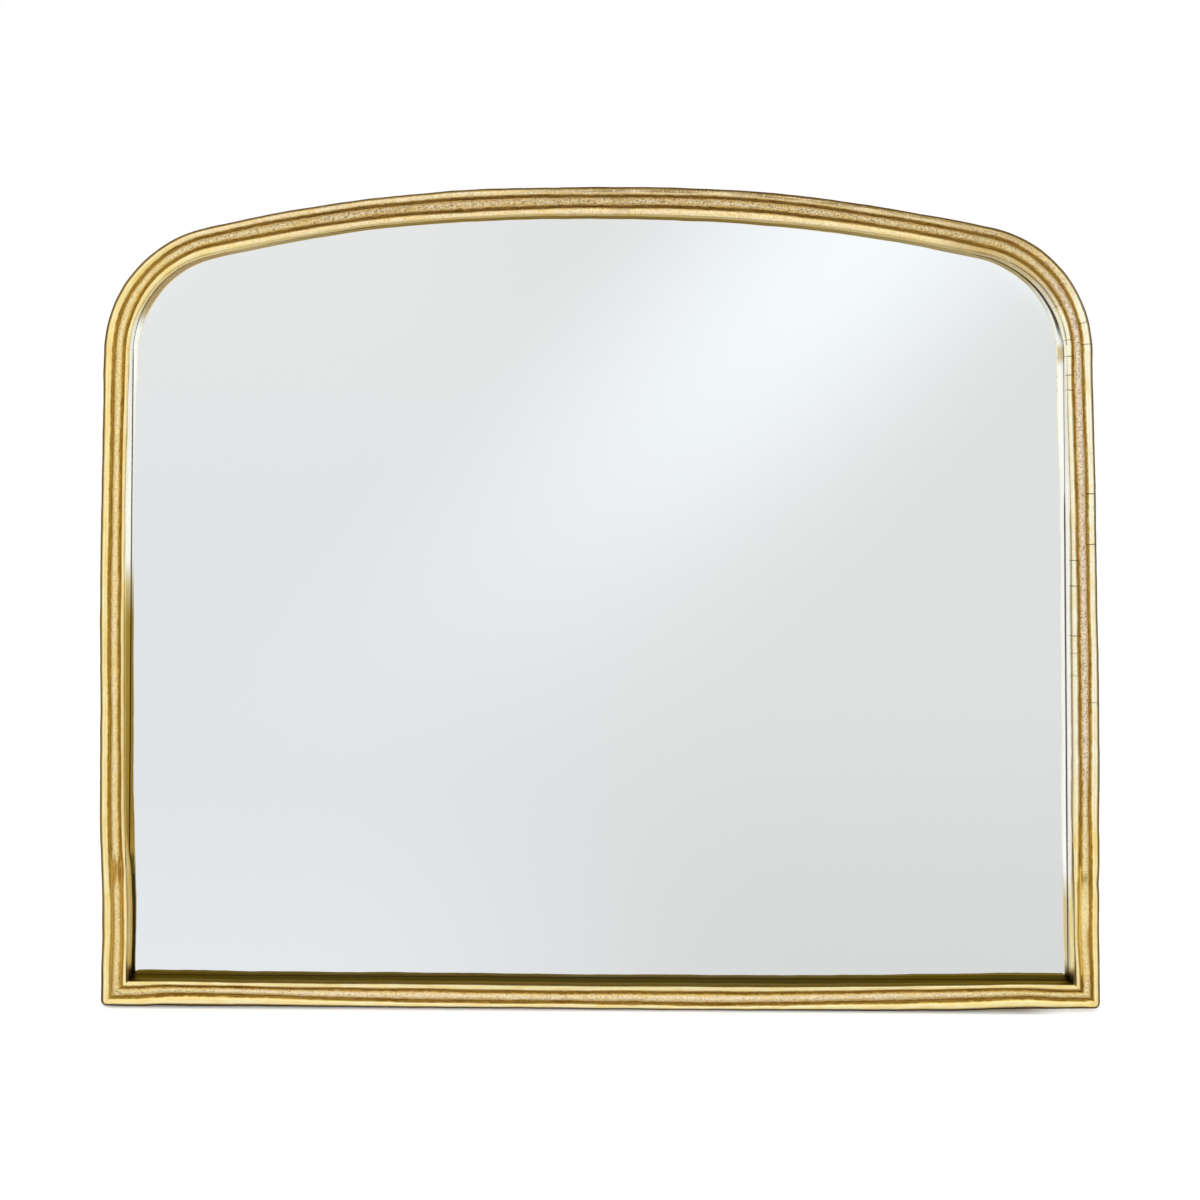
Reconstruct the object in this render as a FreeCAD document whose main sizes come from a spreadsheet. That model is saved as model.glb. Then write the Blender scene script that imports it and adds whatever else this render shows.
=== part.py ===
import FreeCAD, Part
import math
import os
import Sketcher
from types import SimpleNamespace

# Arched overmantel mirror in a reeded cast-metal frame, in millimetres.
# X runs to the viewer's right, Y runs from the viewer to the wall and Z is up.
# The origin is at mid-width and mid-depth, level with the foot of the frame.

SIZES = (
    ("overall_width", 1100, "outside width of the frame"),
    ("overall_height", 910, "foot of the frame to the top of the arch"),
    ("crown_radius", 2020, "outside radius of the shallow arch"),
    ("shoulder_radius", 144, "outside radius where the arch turns into the sides"),
    ("splice_height", 152, "foot of the frame to the joint of leg and arch casting"),
    ("foot_corner_radius", 6, "dressed outside corner at the foot"),
    ("outer_reed_width", 9, "outermost rounded reed"),
    ("middle_reed_width", 11, "middle reed"),
    ("inner_reed_width", 9, "reed beside the glass"),
    ("reed_relief", 3.2, "height of the outer and inner reeds above the grooves"),
    ("middle_reed_relief", 2.9, "height of the middle reed above the grooves"),
    ("casting_wall", 4, "outer and inner walls of the channel casting"),
    ("casting_fillet", 2, "inside corners of the channel"),
    ("front_wall", 3.8, "metal left behind the grooves"),
    ("ledge_depth", 20, "reed crests to the ledge that the glass lies on"),
    ("tape_thickness", 1, "foam tape between ledge and glass"),
    ("tape_setback", 0.5, "tape edge to the sight edge"),
    ("glass_thickness", 4, "silvered glass"),
    ("glass_cover", 9, "glass hidden behind the frame, from the sight edge"),
    ("board_thickness", 5, "backing board"),
    ("board_clearance", 1, "backing board to the outer wall of the casting"),
    ("boss_inset", 12, "outside of the frame to the line of screw bosses"),
    ("boss_diameter", 9, "cast screw boss"),
    ("boss_root", 1, "depth that a boss is cast into the front wall"),
    ("screw_diameter", 3.5, "shank of the backing and hanger screws"),
    ("screw_length", 14, "shank below the head of a backing screw"),
    ("screw_head_diameter", 7, "pan head"),
    ("screw_head_height", 2.2, "pan head"),
    ("screw_play", 0.1, "shank to the threaded hole in its boss, all round"),
    ("board_hole_play", 0.4, "shank to its hole in board or strap, all round"),
    ("screw_tip_room", 1.5, "blind hole left beyond the tip of a screw"),
    ("setting_block_length", 40, "rubber block under the glass"),
    ("setting_block_depth", 9, "rubber block, front to back"),
    ("spacer_length", 30, "rubber spacer beside the glass"),
    ("spacer_play", 0.3, "spacer to the edge of the glass"),
    ("weld_width", 6, "weld run across a joint, inside the channel"),
    ("weld_height", 2, "weld run above the floor of the channel"),
    ("weld_end_room", 3, "weld run to the walls of the channel"),
    ("hanger_drop", 66, "springing of the arch to the pivot of each hanging ring"),
    ("strap_width", 14, "folded steel strap of a hanger"),
    ("strap_sheet", 1.2, "steel of the strap, folded double"),
    ("strap_length", 38, "ring pivot to the end of the strap"),
    ("strap_neck", 5, "ring pivot to where the fold lies flat"),
    ("strap_corner_radius", 4, "rounded end of the strap"),
    ("strap_screw_near", 9.5, "ring pivot to the first screw"),
    ("strap_screw_far", 30, "ring pivot to the second screw"),
    ("hanger_screw_length", 16, "shank below the head of a hanger screw"),
    ("ring_wire", 3, "wire of the hanging ring"),
    ("ring_play", 0.1, "ring wire to its eye in the strap, all round"),
    ("ring_side_room", 1, "strap edge to the ring's arms"),
    ("ring_bend_radius", 3, "bend between the ring's bar and arms"),
    ("ring_arm", 8, "ring pivot to the start of its round end"),
    ("bumper_height", 7, "rubber bumper, backing board to wall"),
    ("bumper_diameter", 20, "rubber bumper at the wall"),
    ("bumper_base_diameter", 24, "rubber bumper at the board"),
    ("bumper_rounding", 1.5, "rounded rim of a bumper"),
    ("bumper_edge_room", 45, "outside of the frame to the centre of a bumper"),
    ("cut_overrun", 2, "how far a cut runs past the metal"),
)

# Places along a stretch of the frame, as shares of its length: the straight side from splice to
# springing, the half of the crown from mid-width to the shoulder, and half of the foot rail.
SIDE_SCREW_SHARES = (0.17, 0.55)
SIDE_SPACER_SHARES = (0.32, 0.71)
CROWN_SCREW_SHARES = (0.22, 0.73)
RAIL_SCREW_SHARE = 0.65
SETTING_BLOCK_SHARE = 0.45
DIAGONAL_SHARE = math.sqrt(0.5)

RING_REST_ANGLE = 5

doc = FreeCAD.newDocument("ArchedMirror")
sheet = doc.addObject("Spreadsheet::Sheet", "Sizes")
for row, (alias, number, meaning) in enumerate(SIZES, start=1):
    sheet.set(f"A{row}", meaning)
    sheet.set(f"B{row}", str(number))
    sheet.setAlias(f"B{row}", alias)
doc.recompute()


class Size:
    """A length that carries its value and the sheet expression that gives it."""

    def __init__(self, value, text):
        self.value = value
        self.text = text

    def __add__(self, other):
        return Size(self.value + other.value, f"({self.text} + {other.text})")

    def __sub__(self, other):
        return Size(self.value - other.value, f"({self.text} - {other.text})")

    def __mul__(self, other):
        if isinstance(other, Size):
            return Size(self.value * other.value, f"({self.text} * {other.text})")
        return Size(self.value * other, f"({self.text} * {other!r})")

    def __truediv__(self, other):
        if isinstance(other, Size):
            return Size(self.value / other.value, f"({self.text} / {other.text})")
        return Size(self.value / other, f"({self.text} / {other!r})")

    def __neg__(self):
        return Size(-self.value, f"(-{self.text})")

    def root(self):
        return Size(math.sqrt(self.value), f"sqrt({self.text})")


NOTHING = Size(0, "0")
size = SimpleNamespace(**{
    alias: Size(float(sheet.get(alias)), f"Sizes.{alias}") for alias, number, meaning in SIZES
})

# Lengths that follow from the sheet: insets run inwards from the outside of the frame.
half_width = size.overall_width / 2
face_width = size.outer_reed_width + size.middle_reed_width + size.inner_reed_width
glass_inset = face_width - size.glass_cover
board_inset = size.casting_wall + size.board_clearance
tape_outer_inset = face_width - size.casting_wall
tape_inner_inset = face_width - size.tape_setback

# Depths run back from the reed crests, and places along Y follow from them.
floor_depth = size.reed_relief + size.front_wall
glass_front_depth = size.ledge_depth + size.tape_thickness
board_seat_depth = glass_front_depth + size.glass_thickness
frame_depth = board_seat_depth + size.board_thickness
front_y = -(frame_depth + size.bumper_height) / 2
floor_y = front_y + floor_depth
glass_front_y = front_y + glass_front_depth
board_seat_y = front_y + board_seat_depth
frame_back_y = front_y + frame_depth

# Centres of the arch: one for the crown on the midline, one for each shoulder.
crown_centre_z = size.overall_height - size.crown_radius
shoulder_centre_x = half_width - size.shoulder_radius
centre_reach = size.crown_radius - size.shoulder_radius
shoulder_rise = (centre_reach * centre_reach - shoulder_centre_x * shoulder_centre_x).root()
springing_z = crown_centre_z + shoulder_rise
crown_half_span = shoulder_centre_x * size.crown_radius / centre_reach
side_length = springing_z - size.splice_height

# The ring pivot stands off the board by one thickness of strap and the eye's radius.
eye_radius = size.ring_wire / 2 + size.ring_play
eye_outer_radius = eye_radius + size.strap_sheet
pivot_y = frame_back_y + eye_outer_radius
hanger_x = half_width - size.boss_inset
hanger_height = springing_z - size.hanger_drop


def new_body(label):
    body = doc.addObject("PartDesign::Body", label)
    body.Label = label
    body.AllowCompound = True
    return body


def new_sketch(body, name, plane, offset):
    """A sketch on one of the body's origin planes, moved along the plane's normal."""
    sketch = body.newObject("Sketcher::SketchObject", name)
    support = [feature for feature in body.Origin.OriginFeatures if feature.Role == plane][0]
    sketch.AttachmentSupport = [(support, "")]
    sketch.MapMode = "FlatFace"
    sketch.setExpression("AttachmentOffset.Base.z", offset.text)
    return sketch


def front_sketch(body, name, y):
    """A sketch in X and Z at a depth; it extrudes towards the viewer."""
    return new_sketch(body, name, "XZ_Plane", -y)


def bind(sketch, constraint, length):
    index = sketch.addConstraint(constraint)
    sketch.setExpression(f"Constraints[{index}]", length.text)


def pin(sketch, geometry, point, place):
    """Fix a point of a sketch at its two coordinates."""
    across, up = place
    bind(sketch, Sketcher.Constraint("DistanceX", geometry, point, across.value), across)
    bind(sketch, Sketcher.Constraint("DistanceY", geometry, point, up.value), up)


def arc_between(start, end, radius, turn):
    """The arc of at most a half circle between two points; turn is 1 anticlockwise, -1 clockwise."""
    chord = end - start
    reach = math.sqrt(max(radius ** 2 - (chord.Length / 2) ** 2, 0))
    left = FreeCAD.Vector(-chord.y, chord.x, 0).normalize()
    centre = (start + end) / 2 + left * (reach * turn)
    first, last = (start, end) if turn > 0 else (end, start)
    circle = Part.Circle(centre, FreeCAD.Vector(0, 0, 1), radius)
    angles = [math.atan2((p - centre).y, (p - centre).x) for p in (first, last)]
    return Part.ArcOfCircle(circle, angles[0], angles[1])


def trace(sketch, corners, closed=True):
    """Draw lines and arcs from corner to corner, where (x, y, radius, turn) starts an arc."""
    spans = len(corners) if closed else len(corners) - 1
    drawn = []
    for i in range(spans):
        place, arc = corners[i][:2], corners[i][2:]
        far = corners[(i + 1) % len(corners)][:2]
        start, end = (FreeCAD.Vector(p[0].value, p[1].value, 0) for p in (place, far))
        if arc:
            radius, turn = arc
            geometry = sketch.addGeometry(arc_between(start, end, radius.value, turn))
            bind(sketch, Sketcher.Constraint("Radius", geometry, radius.value), radius)
            drawn.append((geometry, 1, 2) if turn > 0 else (geometry, 2, 1))
        else:
            drawn.append((sketch.addGeometry(Part.LineSegment(start, end)), 1, 2))
    for i, (geometry, first, last) in enumerate(drawn):
        pin(sketch, geometry, first, corners[i][:2])
        if closed or i + 1 < spans:
            after, after_first, _ = drawn[(i + 1) % spans]
            sketch.addConstraint(Sketcher.Constraint("Coincident", geometry, last, after, after_first))
        else:
            pin(sketch, geometry, last, corners[i + 1][:2])


def circles(sketch, places, radius):
    for place in places:
        centre = FreeCAD.Vector(place[0].value, place[1].value, 0)
        circle = Part.Circle(centre, FreeCAD.Vector(0, 0, 1), radius.value)
        geometry = sketch.addGeometry(circle)
        pin(sketch, geometry, 3, place)
        bind(sketch, Sketcher.Constraint("Radius", geometry, radius.value), radius)


def rectangle(sketch, left, bottom, width, height):
    right, top = left + width, bottom + height
    trace(sketch, [(left, bottom), (right, bottom), (right, top), (left, top)])


def extrude(body, kind, name, sketch, length, flip=False):
    feature = body.newObject(f"PartDesign::{kind}", name)
    feature.Profile = sketch
    feature.setExpression("Length", length.text)
    feature.Reversed = flip
    return feature


def mirrored(places, side):
    return [(across * side, up) for across, up in places]


def arch_corners(inset):
    """The closed outline of the arch, inset from the outside of the frame all round."""
    crown = size.crown_radius - inset
    shoulder = size.shoulder_radius - inset
    edge = half_width - inset
    reach = crown / centre_reach
    turn_x = shoulder_centre_x * reach
    turn_z = crown_centre_z + shoulder_rise * reach
    return [
        (-edge, inset),
        (edge, inset),
        (edge, springing_z, shoulder, 1),
        (turn_x, turn_z, crown, 1),
        (-turn_x, turn_z, shoulder, 1),
        (-edge, springing_z),
    ]


def reed_radius(width, relief):
    return (width * width / 4 + relief * relief) / (relief * 2)


def frame_section(place):
    """The reeded channel section; place turns an inset and a depth into sketch coordinates."""
    groove_one = size.outer_reed_width
    groove_two = groove_one + size.middle_reed_width
    inner_wall = face_width - size.casting_wall
    fillet = size.casting_fillet
    turn = place.turn
    outer = reed_radius(size.outer_reed_width, size.reed_relief)
    middle = reed_radius(size.middle_reed_width, size.middle_reed_relief)
    inner = reed_radius(size.inner_reed_width, size.reed_relief)
    return [
        place(NOTHING, frame_depth),
        (*place(NOTHING, size.reed_relief), outer, turn),
        (*place(groove_one, size.reed_relief), middle, turn),
        (*place(groove_two, size.reed_relief), inner, turn),
        place(face_width, size.reed_relief),
        place(face_width, size.ledge_depth),
        place(inner_wall, size.ledge_depth),
        (*place(inner_wall, floor_depth + fillet), fillet, -turn),
        place(inner_wall - fillet, floor_depth),
        (*place(size.casting_wall + fillet, floor_depth), fillet, -turn),
        place(size.casting_wall, floor_depth + fillet),
        place(size.casting_wall, frame_depth),
    ]


def arch_section_place(inset, depth):
    """Section at mid-width: Y runs across the sketch and Z up it."""
    return front_y + depth, size.overall_height - inset


def rail_section_place(inset, depth):
    """Section of the foot rail: Y runs across the sketch and Z up it."""
    return front_y + depth, inset


def leg_section_place(side):
    """Section of a leg, at -1 on the left and 1 on the right: X runs across the sketch and Y up it."""

    def place(inset, depth):
        return (half_width - inset) * side, front_y + depth

    place.turn = -side
    return place


arch_section_place.turn = 1
rail_section_place.turn = -1


def crown_place(across):
    """A place on the line of bosses under the crown, at a distance from the midline."""
    reach = size.crown_radius - size.boss_inset
    return across, crown_centre_z + (reach * reach - across * across).root()


shoulder_reach = (size.shoulder_radius - size.boss_inset) * DIAGONAL_SHARE
boss_line_x = half_width - size.boss_inset
side_screws = [
    *(crown_place(crown_half_span * share) for share in CROWN_SCREW_SHARES),
    (shoulder_centre_x + shoulder_reach, springing_z + shoulder_reach),
    *((boss_line_x, size.splice_height + side_length * share) for share in SIDE_SCREW_SHARES),
]
rail_screws = [
    (half_width * share, size.boss_inset) for share in (-RAIL_SCREW_SHARE, 0, RAIL_SCREW_SHARE)
]
strap_screws = [
    (hanger_x, hanger_height - size.strap_screw_near),
    (hanger_x, hanger_height - size.strap_screw_far),
]
backing_screws = mirrored(side_screws, -1) + mirrored(side_screws, 1) + rail_screws
hanger_screws = mirrored(strap_screws, -1) + mirrored(strap_screws, 1)
strap_thickness = size.strap_sheet * 2


def add_bosses(body, name, places, screw_reach):
    """Screw bosses from the front wall up to the board, with blind holes for the screws."""
    plan = front_sketch(body, f"{name}Plan", board_seat_y)
    circles(plan, places, size.boss_diameter / 2)
    extrude(body, "Pad", name, plan, board_seat_depth - floor_depth + size.boss_root)
    holes = front_sketch(body, f"{name}HolePlan", board_seat_y)
    circles(holes, places, size.screw_diameter / 2 + size.screw_play)
    extrude(body, "Pocket", f"{name}Holes", holes, screw_reach + size.screw_tip_room, flip=True)


def arch_casting(label, side):
    """Half of the arch, its shoulder and the side below, swept round the outside of the frame."""
    body = new_body(label)
    outline = arch_corners(NOTHING)
    turn_x, turn_z = outline[3][:2]
    path = front_sketch(body, "MouldingPath", NOTHING)
    trace(path, [
        (NOTHING, size.overall_height, size.crown_radius, -side),
        (turn_x * side, turn_z, size.shoulder_radius, -side),
        (half_width * side, springing_z),
        (half_width * side, size.splice_height),
    ], closed=False)
    section = new_sketch(body, "ReededSection", "YZ_Plane", NOTHING)
    trace(section, frame_section(arch_section_place))
    moulding = body.newObject("PartDesign::AdditivePipe", "Moulding")
    moulding.Profile = section
    moulding.Spine = (path, ["Edge1", "Edge2", "Edge3"])
    board_reach = size.screw_length - size.board_thickness
    strap_reach = size.hanger_screw_length - size.board_thickness - strap_thickness
    add_bosses(body, "BackingBosses", mirrored(side_screws, side), board_reach)
    add_bosses(body, "HangerBosses", mirrored(strap_screws, side), strap_reach)
    return body


def mitre_waste(side, along_rail):
    """What is cut from a foot corner: metal beyond the mitre and outside the dressed corner."""
    corner = size.foot_corner_radius
    arc_end = corner * (1 - DIAGONAL_SHARE)
    inside = face_width + size.cut_overrun
    over = -size.cut_overrun
    insets = [
        (over, corner),
        (NOTHING, corner, corner, side),
        (arc_end, arc_end),
        (inside, inside),
        (inside, over),
        (over, over),
    ]
    waste = []
    for first, second, *arc in insets:
        across, up = (second, first) if along_rail else (first, second)
        bend = [arc[0], -arc[1]] if arc and along_rail else arc
        waste.append(((half_width - across) * side, up, *bend))
    return waste


def cut_mitre(body, name, waste):
    plan = front_sketch(body, f"{name}Plan", front_y - size.cut_overrun)
    trace(plan, waste)
    extrude(body, "Pocket", name, plan, frame_depth + size.cut_overrun * 2)


def leg_casting(label, side):
    """Short leg between the splice and the mitred foot corner."""
    body = new_body(label)
    section = new_sketch(body, "ReededSection", "XY_Plane", NOTHING)
    trace(section, frame_section(leg_section_place(side)))
    extrude(body, "Pad", "Moulding", section, size.splice_height)
    cut_mitre(body, "Mitre", mitre_waste(side, along_rail=False))
    return body


def foot_rail():
    """Straight foot rail, mitred at both ends."""
    body = new_body("foot_rail_casting")
    section = new_sketch(body, "ReededSection", "YZ_Plane", -half_width)
    trace(section, frame_section(rail_section_place))
    extrude(body, "Pad", "Moulding", section, size.overall_width)
    cut_mitre(body, "LeftMitre", mitre_waste(-1, along_rail=True))
    cut_mitre(body, "RightMitre", mitre_waste(1, along_rail=True))
    add_bosses(body, "BackingBosses", rail_screws, size.screw_length - size.board_thickness)
    return body


def weld_outline(start, end):
    """A weld run seen from behind: two arcs that meet at the ends of the joint."""
    run_x, run_z = end[0] - start[0], end[1] - start[1]
    length = (run_x * run_x + run_z * run_z).root()
    bulge = reed_radius(length, size.weld_width / 2)
    return [(*start, bulge, 1), (*end, bulge, 1)]


def joint_welds():
    """Weld runs on the floor of the channel, across the crown joint, both splices and both mitres."""
    body = new_body("joint_welds")
    outer = size.casting_wall + size.weld_end_room
    inner = face_width - size.casting_wall - size.weld_end_room
    plan = front_sketch(body, "Plan", floor_y + size.weld_height)
    trace(plan, weld_outline((NOTHING, size.overall_height - inner), (NOTHING, size.overall_height - outer)))
    for side in (-1, 1):
        outer_x, inner_x = (half_width - outer) * side, (half_width - inner) * side
        trace(plan, weld_outline((outer_x, size.splice_height), (inner_x, size.splice_height)))
        trace(plan, weld_outline((outer_x, outer), (inner_x, inner)))
    extrude(body, "Pad", "Runs", plan, size.weld_height)
    return body


def plate(label, inset, back_y, thickness):
    """A flat sheet to the outline of the arch."""
    body = new_body(label)
    outline = front_sketch(body, "Outline", back_y)
    trace(outline, arch_corners(inset))
    extrude(body, "Pad", "Sheet", outline, thickness)
    return body


def glazing_tape():
    """Foam tape along the ledge, all round the sight opening."""
    body = new_body("glazing_tape")
    outline = front_sketch(body, "Outline", glass_front_y)
    trace(outline, arch_corners(tape_outer_inset))
    trace(outline, arch_corners(tape_inner_inset))
    extrude(body, "Pad", "Tape", outline, size.tape_thickness)
    return body


def backing_board():
    body = plate("backing_board", board_inset, frame_back_y, size.board_thickness)
    holes = front_sketch(body, "ScrewHolePlan", frame_back_y)
    circles(holes, backing_screws + hanger_screws, size.screw_diameter / 2 + size.board_hole_play)
    extrude(body, "Pocket", "ScrewHoles", holes, size.board_thickness + size.cut_overrun, flip=True)
    return body


def screws(label, places, seat_y, length):
    """Pan-head screws driven towards the viewer, with their heads on a flat seat."""
    body = new_body(label)
    head_plan = front_sketch(body, "HeadPlan", seat_y + size.screw_head_height)
    circles(head_plan, places, size.screw_head_diameter / 2)
    extrude(body, "Pad", "Heads", head_plan, size.screw_head_height)
    shank_plan = front_sketch(body, "ShankPlan", seat_y)
    circles(shank_plan, places, size.screw_diameter / 2)
    extrude(body, "Pad", "Shanks", shank_plan, length)
    return body


def setting_blocks():
    """Rubber blocks on the wall of the foot rail, carrying the lower edge of the glass."""
    body = new_body("glass_setting_blocks")
    plan = front_sketch(body, "Plan", board_seat_y)
    for side in (-1, 1):
        left = half_width * SETTING_BLOCK_SHARE * side - size.setting_block_length / 2
        height = glass_inset - size.casting_wall
        rectangle(plan, left, size.casting_wall, size.setting_block_length, height)
    extrude(body, "Pad", "Blocks", plan, size.setting_block_depth)
    return body


def side_spacers():
    """Rubber spacers on the side walls, keeping the glass central."""
    body = new_body("glass_side_spacers")
    plan = front_sketch(body, "Plan", board_seat_y)
    width = glass_inset - size.casting_wall - size.spacer_play
    wall_x = half_width - size.casting_wall
    for left in (-wall_x, wall_x - width):
        for share in SIDE_SPACER_SHARES:
            bottom = size.splice_height + side_length * share - size.spacer_length / 2
            rectangle(plan, left, bottom, width, size.spacer_length)
    extrude(body, "Pad", "Spacers", plan, size.setting_block_depth)
    return body


def hanger_strap(label, side):
    """Steel strap folded double round the bar of its ring, with two screw holes."""
    body = new_body(label)
    end_z = hanger_height - size.strap_length
    folded_y = frame_back_y + strap_thickness
    section = new_sketch(body, "FoldSection", "YZ_Plane", hanger_x * side - size.strap_width / 2)
    trace(section, [
        (frame_back_y, end_z),
        (frame_back_y, hanger_height, eye_outer_radius, -1),
        (pivot_y, hanger_height + eye_outer_radius, eye_outer_radius, -1),
        (pivot_y + eye_outer_radius, hanger_height),
        (folded_y, hanger_height - size.strap_neck),
        (folded_y, end_z),
    ])
    circles(section, [(pivot_y, hanger_height)], eye_radius)
    extrude(body, "Pad", "Fold", section, size.strap_width)
    holes = front_sketch(body, "ScrewHolePlan", folded_y)
    circles(holes, mirrored(strap_screws, side), size.screw_diameter / 2 + size.board_hole_play)
    cut = extrude(body, "Pocket", "ScrewHoles", holes, strap_thickness + size.cut_overrun, flip=True)
    doc.recompute()
    corners = [
        f"Edge{number}" for number, edge in enumerate(cut.Shape.Edges, start=1)
        if edge.BoundBox.ZMax < end_z.value + size.ring_play.value and edge.BoundBox.XLength < edge.Length
        and edge.BoundBox.ZLength < edge.Length and edge.BoundBox.YLength > edge.Length / 2
    ]
    rounding = body.newObject("PartDesign::Fillet", "RoundedEnd")
    rounding.Base = (cut, corners)
    rounding.setExpression("Radius", size.strap_corner_radius.text)
    return body


def hanger_ring(label, side):
    """D-shaped wire ring, made about its bar and hung in the eye of its strap."""
    body = new_body(label)
    arm_x = size.strap_width / 2 + size.ring_side_room + size.ring_wire / 2
    bend = size.ring_bend_radius
    path = front_sketch(body, "RingPath", NOTHING)
    trace(path, [
        (NOTHING, NOTHING),
        (arm_x - bend, NOTHING, bend, -1),
        (arm_x, -bend),
        (arm_x, -size.ring_arm, arm_x, -1),
        (NOTHING, -(size.ring_arm + arm_x), arm_x, -1),
        (-arm_x, -size.ring_arm),
        (-arm_x, -bend, bend, -1),
        (bend - arm_x, NOTHING),
    ])
    section = new_sketch(body, "WireSection", "YZ_Plane", NOTHING)
    circles(section, [(NOTHING, NOTHING)], size.ring_wire / 2)
    doc.recompute()
    wire = body.newObject("PartDesign::AdditivePipe", "Wire")
    wire.Profile = section
    wire.Spine = (path, [f"Edge{number}" for number in range(1, len(path.Shape.Edges) + 1)])
    place(body, hanger_x * side, pivot_y, hanger_height, RING_REST_ANGLE)
    return body


def wall_bumper(label, side):
    """Tapered rubber bumper stuck to the lower corner of the board."""
    body = new_body(label)
    rim = size.bumper_diameter / 2
    rounding = size.bumper_rounding
    section = new_sketch(body, "Section", "XY_Plane", NOTHING)
    trace(section, [
        (NOTHING, NOTHING),
        (size.bumper_base_diameter / 2, NOTHING),
        (rim, size.bumper_height - rounding, rounding, 1),
        (rim - rounding, size.bumper_height),
        (NOTHING, size.bumper_height),
    ])
    turned = body.newObject("PartDesign::Revolution", "Turned")
    turned.Profile = section
    turned.ReferenceAxis = (section, ["V_Axis"])
    turned.Angle = 360
    place(body, (half_width - size.bumper_edge_room) * side, frame_back_y, size.bumper_edge_room, 0)
    return body


def place(body, x, y, z, tilt):
    """Set a body down at a point, tilted about X by an angle in degrees."""
    base = FreeCAD.Vector(x.value, y.value, z.value)
    body.Placement = FreeCAD.Placement(base, FreeCAD.Rotation(FreeCAD.Vector(1, 0, 0), tilt))
    for letter, length in (("x", x), ("y", y), ("z", z)):
        body.setExpression(f"Placement.Base.{letter}", length.text)


nodes = [
    arch_casting("left_arch_casting", -1),
    arch_casting("right_arch_casting", 1),
    leg_casting("left_leg_casting", -1),
    leg_casting("right_leg_casting", 1),
    foot_rail(),
    joint_welds(),
    glazing_tape(),
    plate("mirror_glass", glass_inset, board_seat_y, size.glass_thickness),
    setting_blocks(),
    side_spacers(),
    backing_board(),
    screws("backing_screws", backing_screws, frame_back_y, size.screw_length),
    hanger_strap("left_hanger_strap", -1),
    hanger_strap("right_hanger_strap", 1),
    hanger_ring("left_hanger_ring", -1),
    hanger_ring("right_hanger_ring", 1),
    screws("hanger_screws", hanger_screws, frame_back_y + strap_thickness, size.hanger_screw_length),
    wall_bumper("left_wall_bumper", -1),
    wall_bumper("right_wall_bumper", 1),
]

doc.recompute()
for item in doc.Objects:
    if "Invalid" in item.State or "Error" in item.State:
        raise RuntimeError(f"{item.Label} failed to build: {item.State}")
for body in nodes:
    if body.Shape.isNull() or not body.Shape.isValid():
        raise RuntimeError(f"{body.Label} has no valid shape")

os.makedirs("parts", exist_ok=True)
for body in nodes:
    body.Shape.exportStep(f"parts/{body.Label}.step")
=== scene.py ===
import math

import bmesh
import bpy
import numpy as np
from bpy.props import FloatProperty, FloatVectorProperty, IntProperty, PointerProperty
from mathutils import Matrix, Vector


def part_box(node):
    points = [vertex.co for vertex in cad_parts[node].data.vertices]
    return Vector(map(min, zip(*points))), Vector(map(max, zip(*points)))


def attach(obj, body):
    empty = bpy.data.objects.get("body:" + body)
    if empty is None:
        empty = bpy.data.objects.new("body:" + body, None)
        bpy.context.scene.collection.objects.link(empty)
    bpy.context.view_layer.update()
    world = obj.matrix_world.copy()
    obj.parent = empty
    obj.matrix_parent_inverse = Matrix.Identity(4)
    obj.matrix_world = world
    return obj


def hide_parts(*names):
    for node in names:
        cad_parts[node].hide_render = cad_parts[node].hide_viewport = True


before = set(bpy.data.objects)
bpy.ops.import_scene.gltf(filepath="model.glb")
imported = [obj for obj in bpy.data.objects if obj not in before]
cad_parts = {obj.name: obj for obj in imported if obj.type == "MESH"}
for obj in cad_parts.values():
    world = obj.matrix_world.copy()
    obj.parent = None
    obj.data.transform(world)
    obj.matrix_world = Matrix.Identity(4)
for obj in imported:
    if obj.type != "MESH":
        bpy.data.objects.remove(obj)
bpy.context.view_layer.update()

bl_info = {
    "name": "Arched overmantel mirror",
    "version": (1, 0, 0),
    "blender": (4, 5, 0),
    "location": "3D View > Sidebar > Mirror",
    "description": "Models the reeded castings, the hardware and the stage of an arched mirror",
    "category": "Object",
}

LEG_LOW, LEG_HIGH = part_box("left_leg_casting")
_, ARCH_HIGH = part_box("right_arch_casting")
TAPE_LOW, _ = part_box("glazing_tape")

# An edge longer than this can only lie along a straight run that has not been cut into steps yet.
LONG_EDGE = 0.05
MOST_CUTS = 100
MERGE_GAP = 1e-6
SEED_SIZE = 0.001
DIAGONAL = math.sqrt(0.5)
CASTING_CREASE = math.radians(40)
SCREW_CREASE = math.radians(35)
SCREW_TURN = 0.7
CLOUD_DEPTH = 2

# Depths between which the front of a casting bends and its skin takes file and hammer.
FRONT_FULL = -0.011
SKIN_BACK, SKIN_FULL = -0.0125, -0.0150
# Distances from a foot corner between which the reeds begin to wander.
CORNER_STILL, CORNER_FREE = 0.035, 0.09
# How far the edges of the three reeds wander, with the phase of each.
REED_WANDER = ((0.0002, 0.3), (0.0005, 1.1), (0.0005, 2.9), (0.0003, 4.4))
BROAD_SWAY, BROAD_PACE = 0.6, 23
FINE_SWAY, FINE_PACE = 0.4, 61

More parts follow.
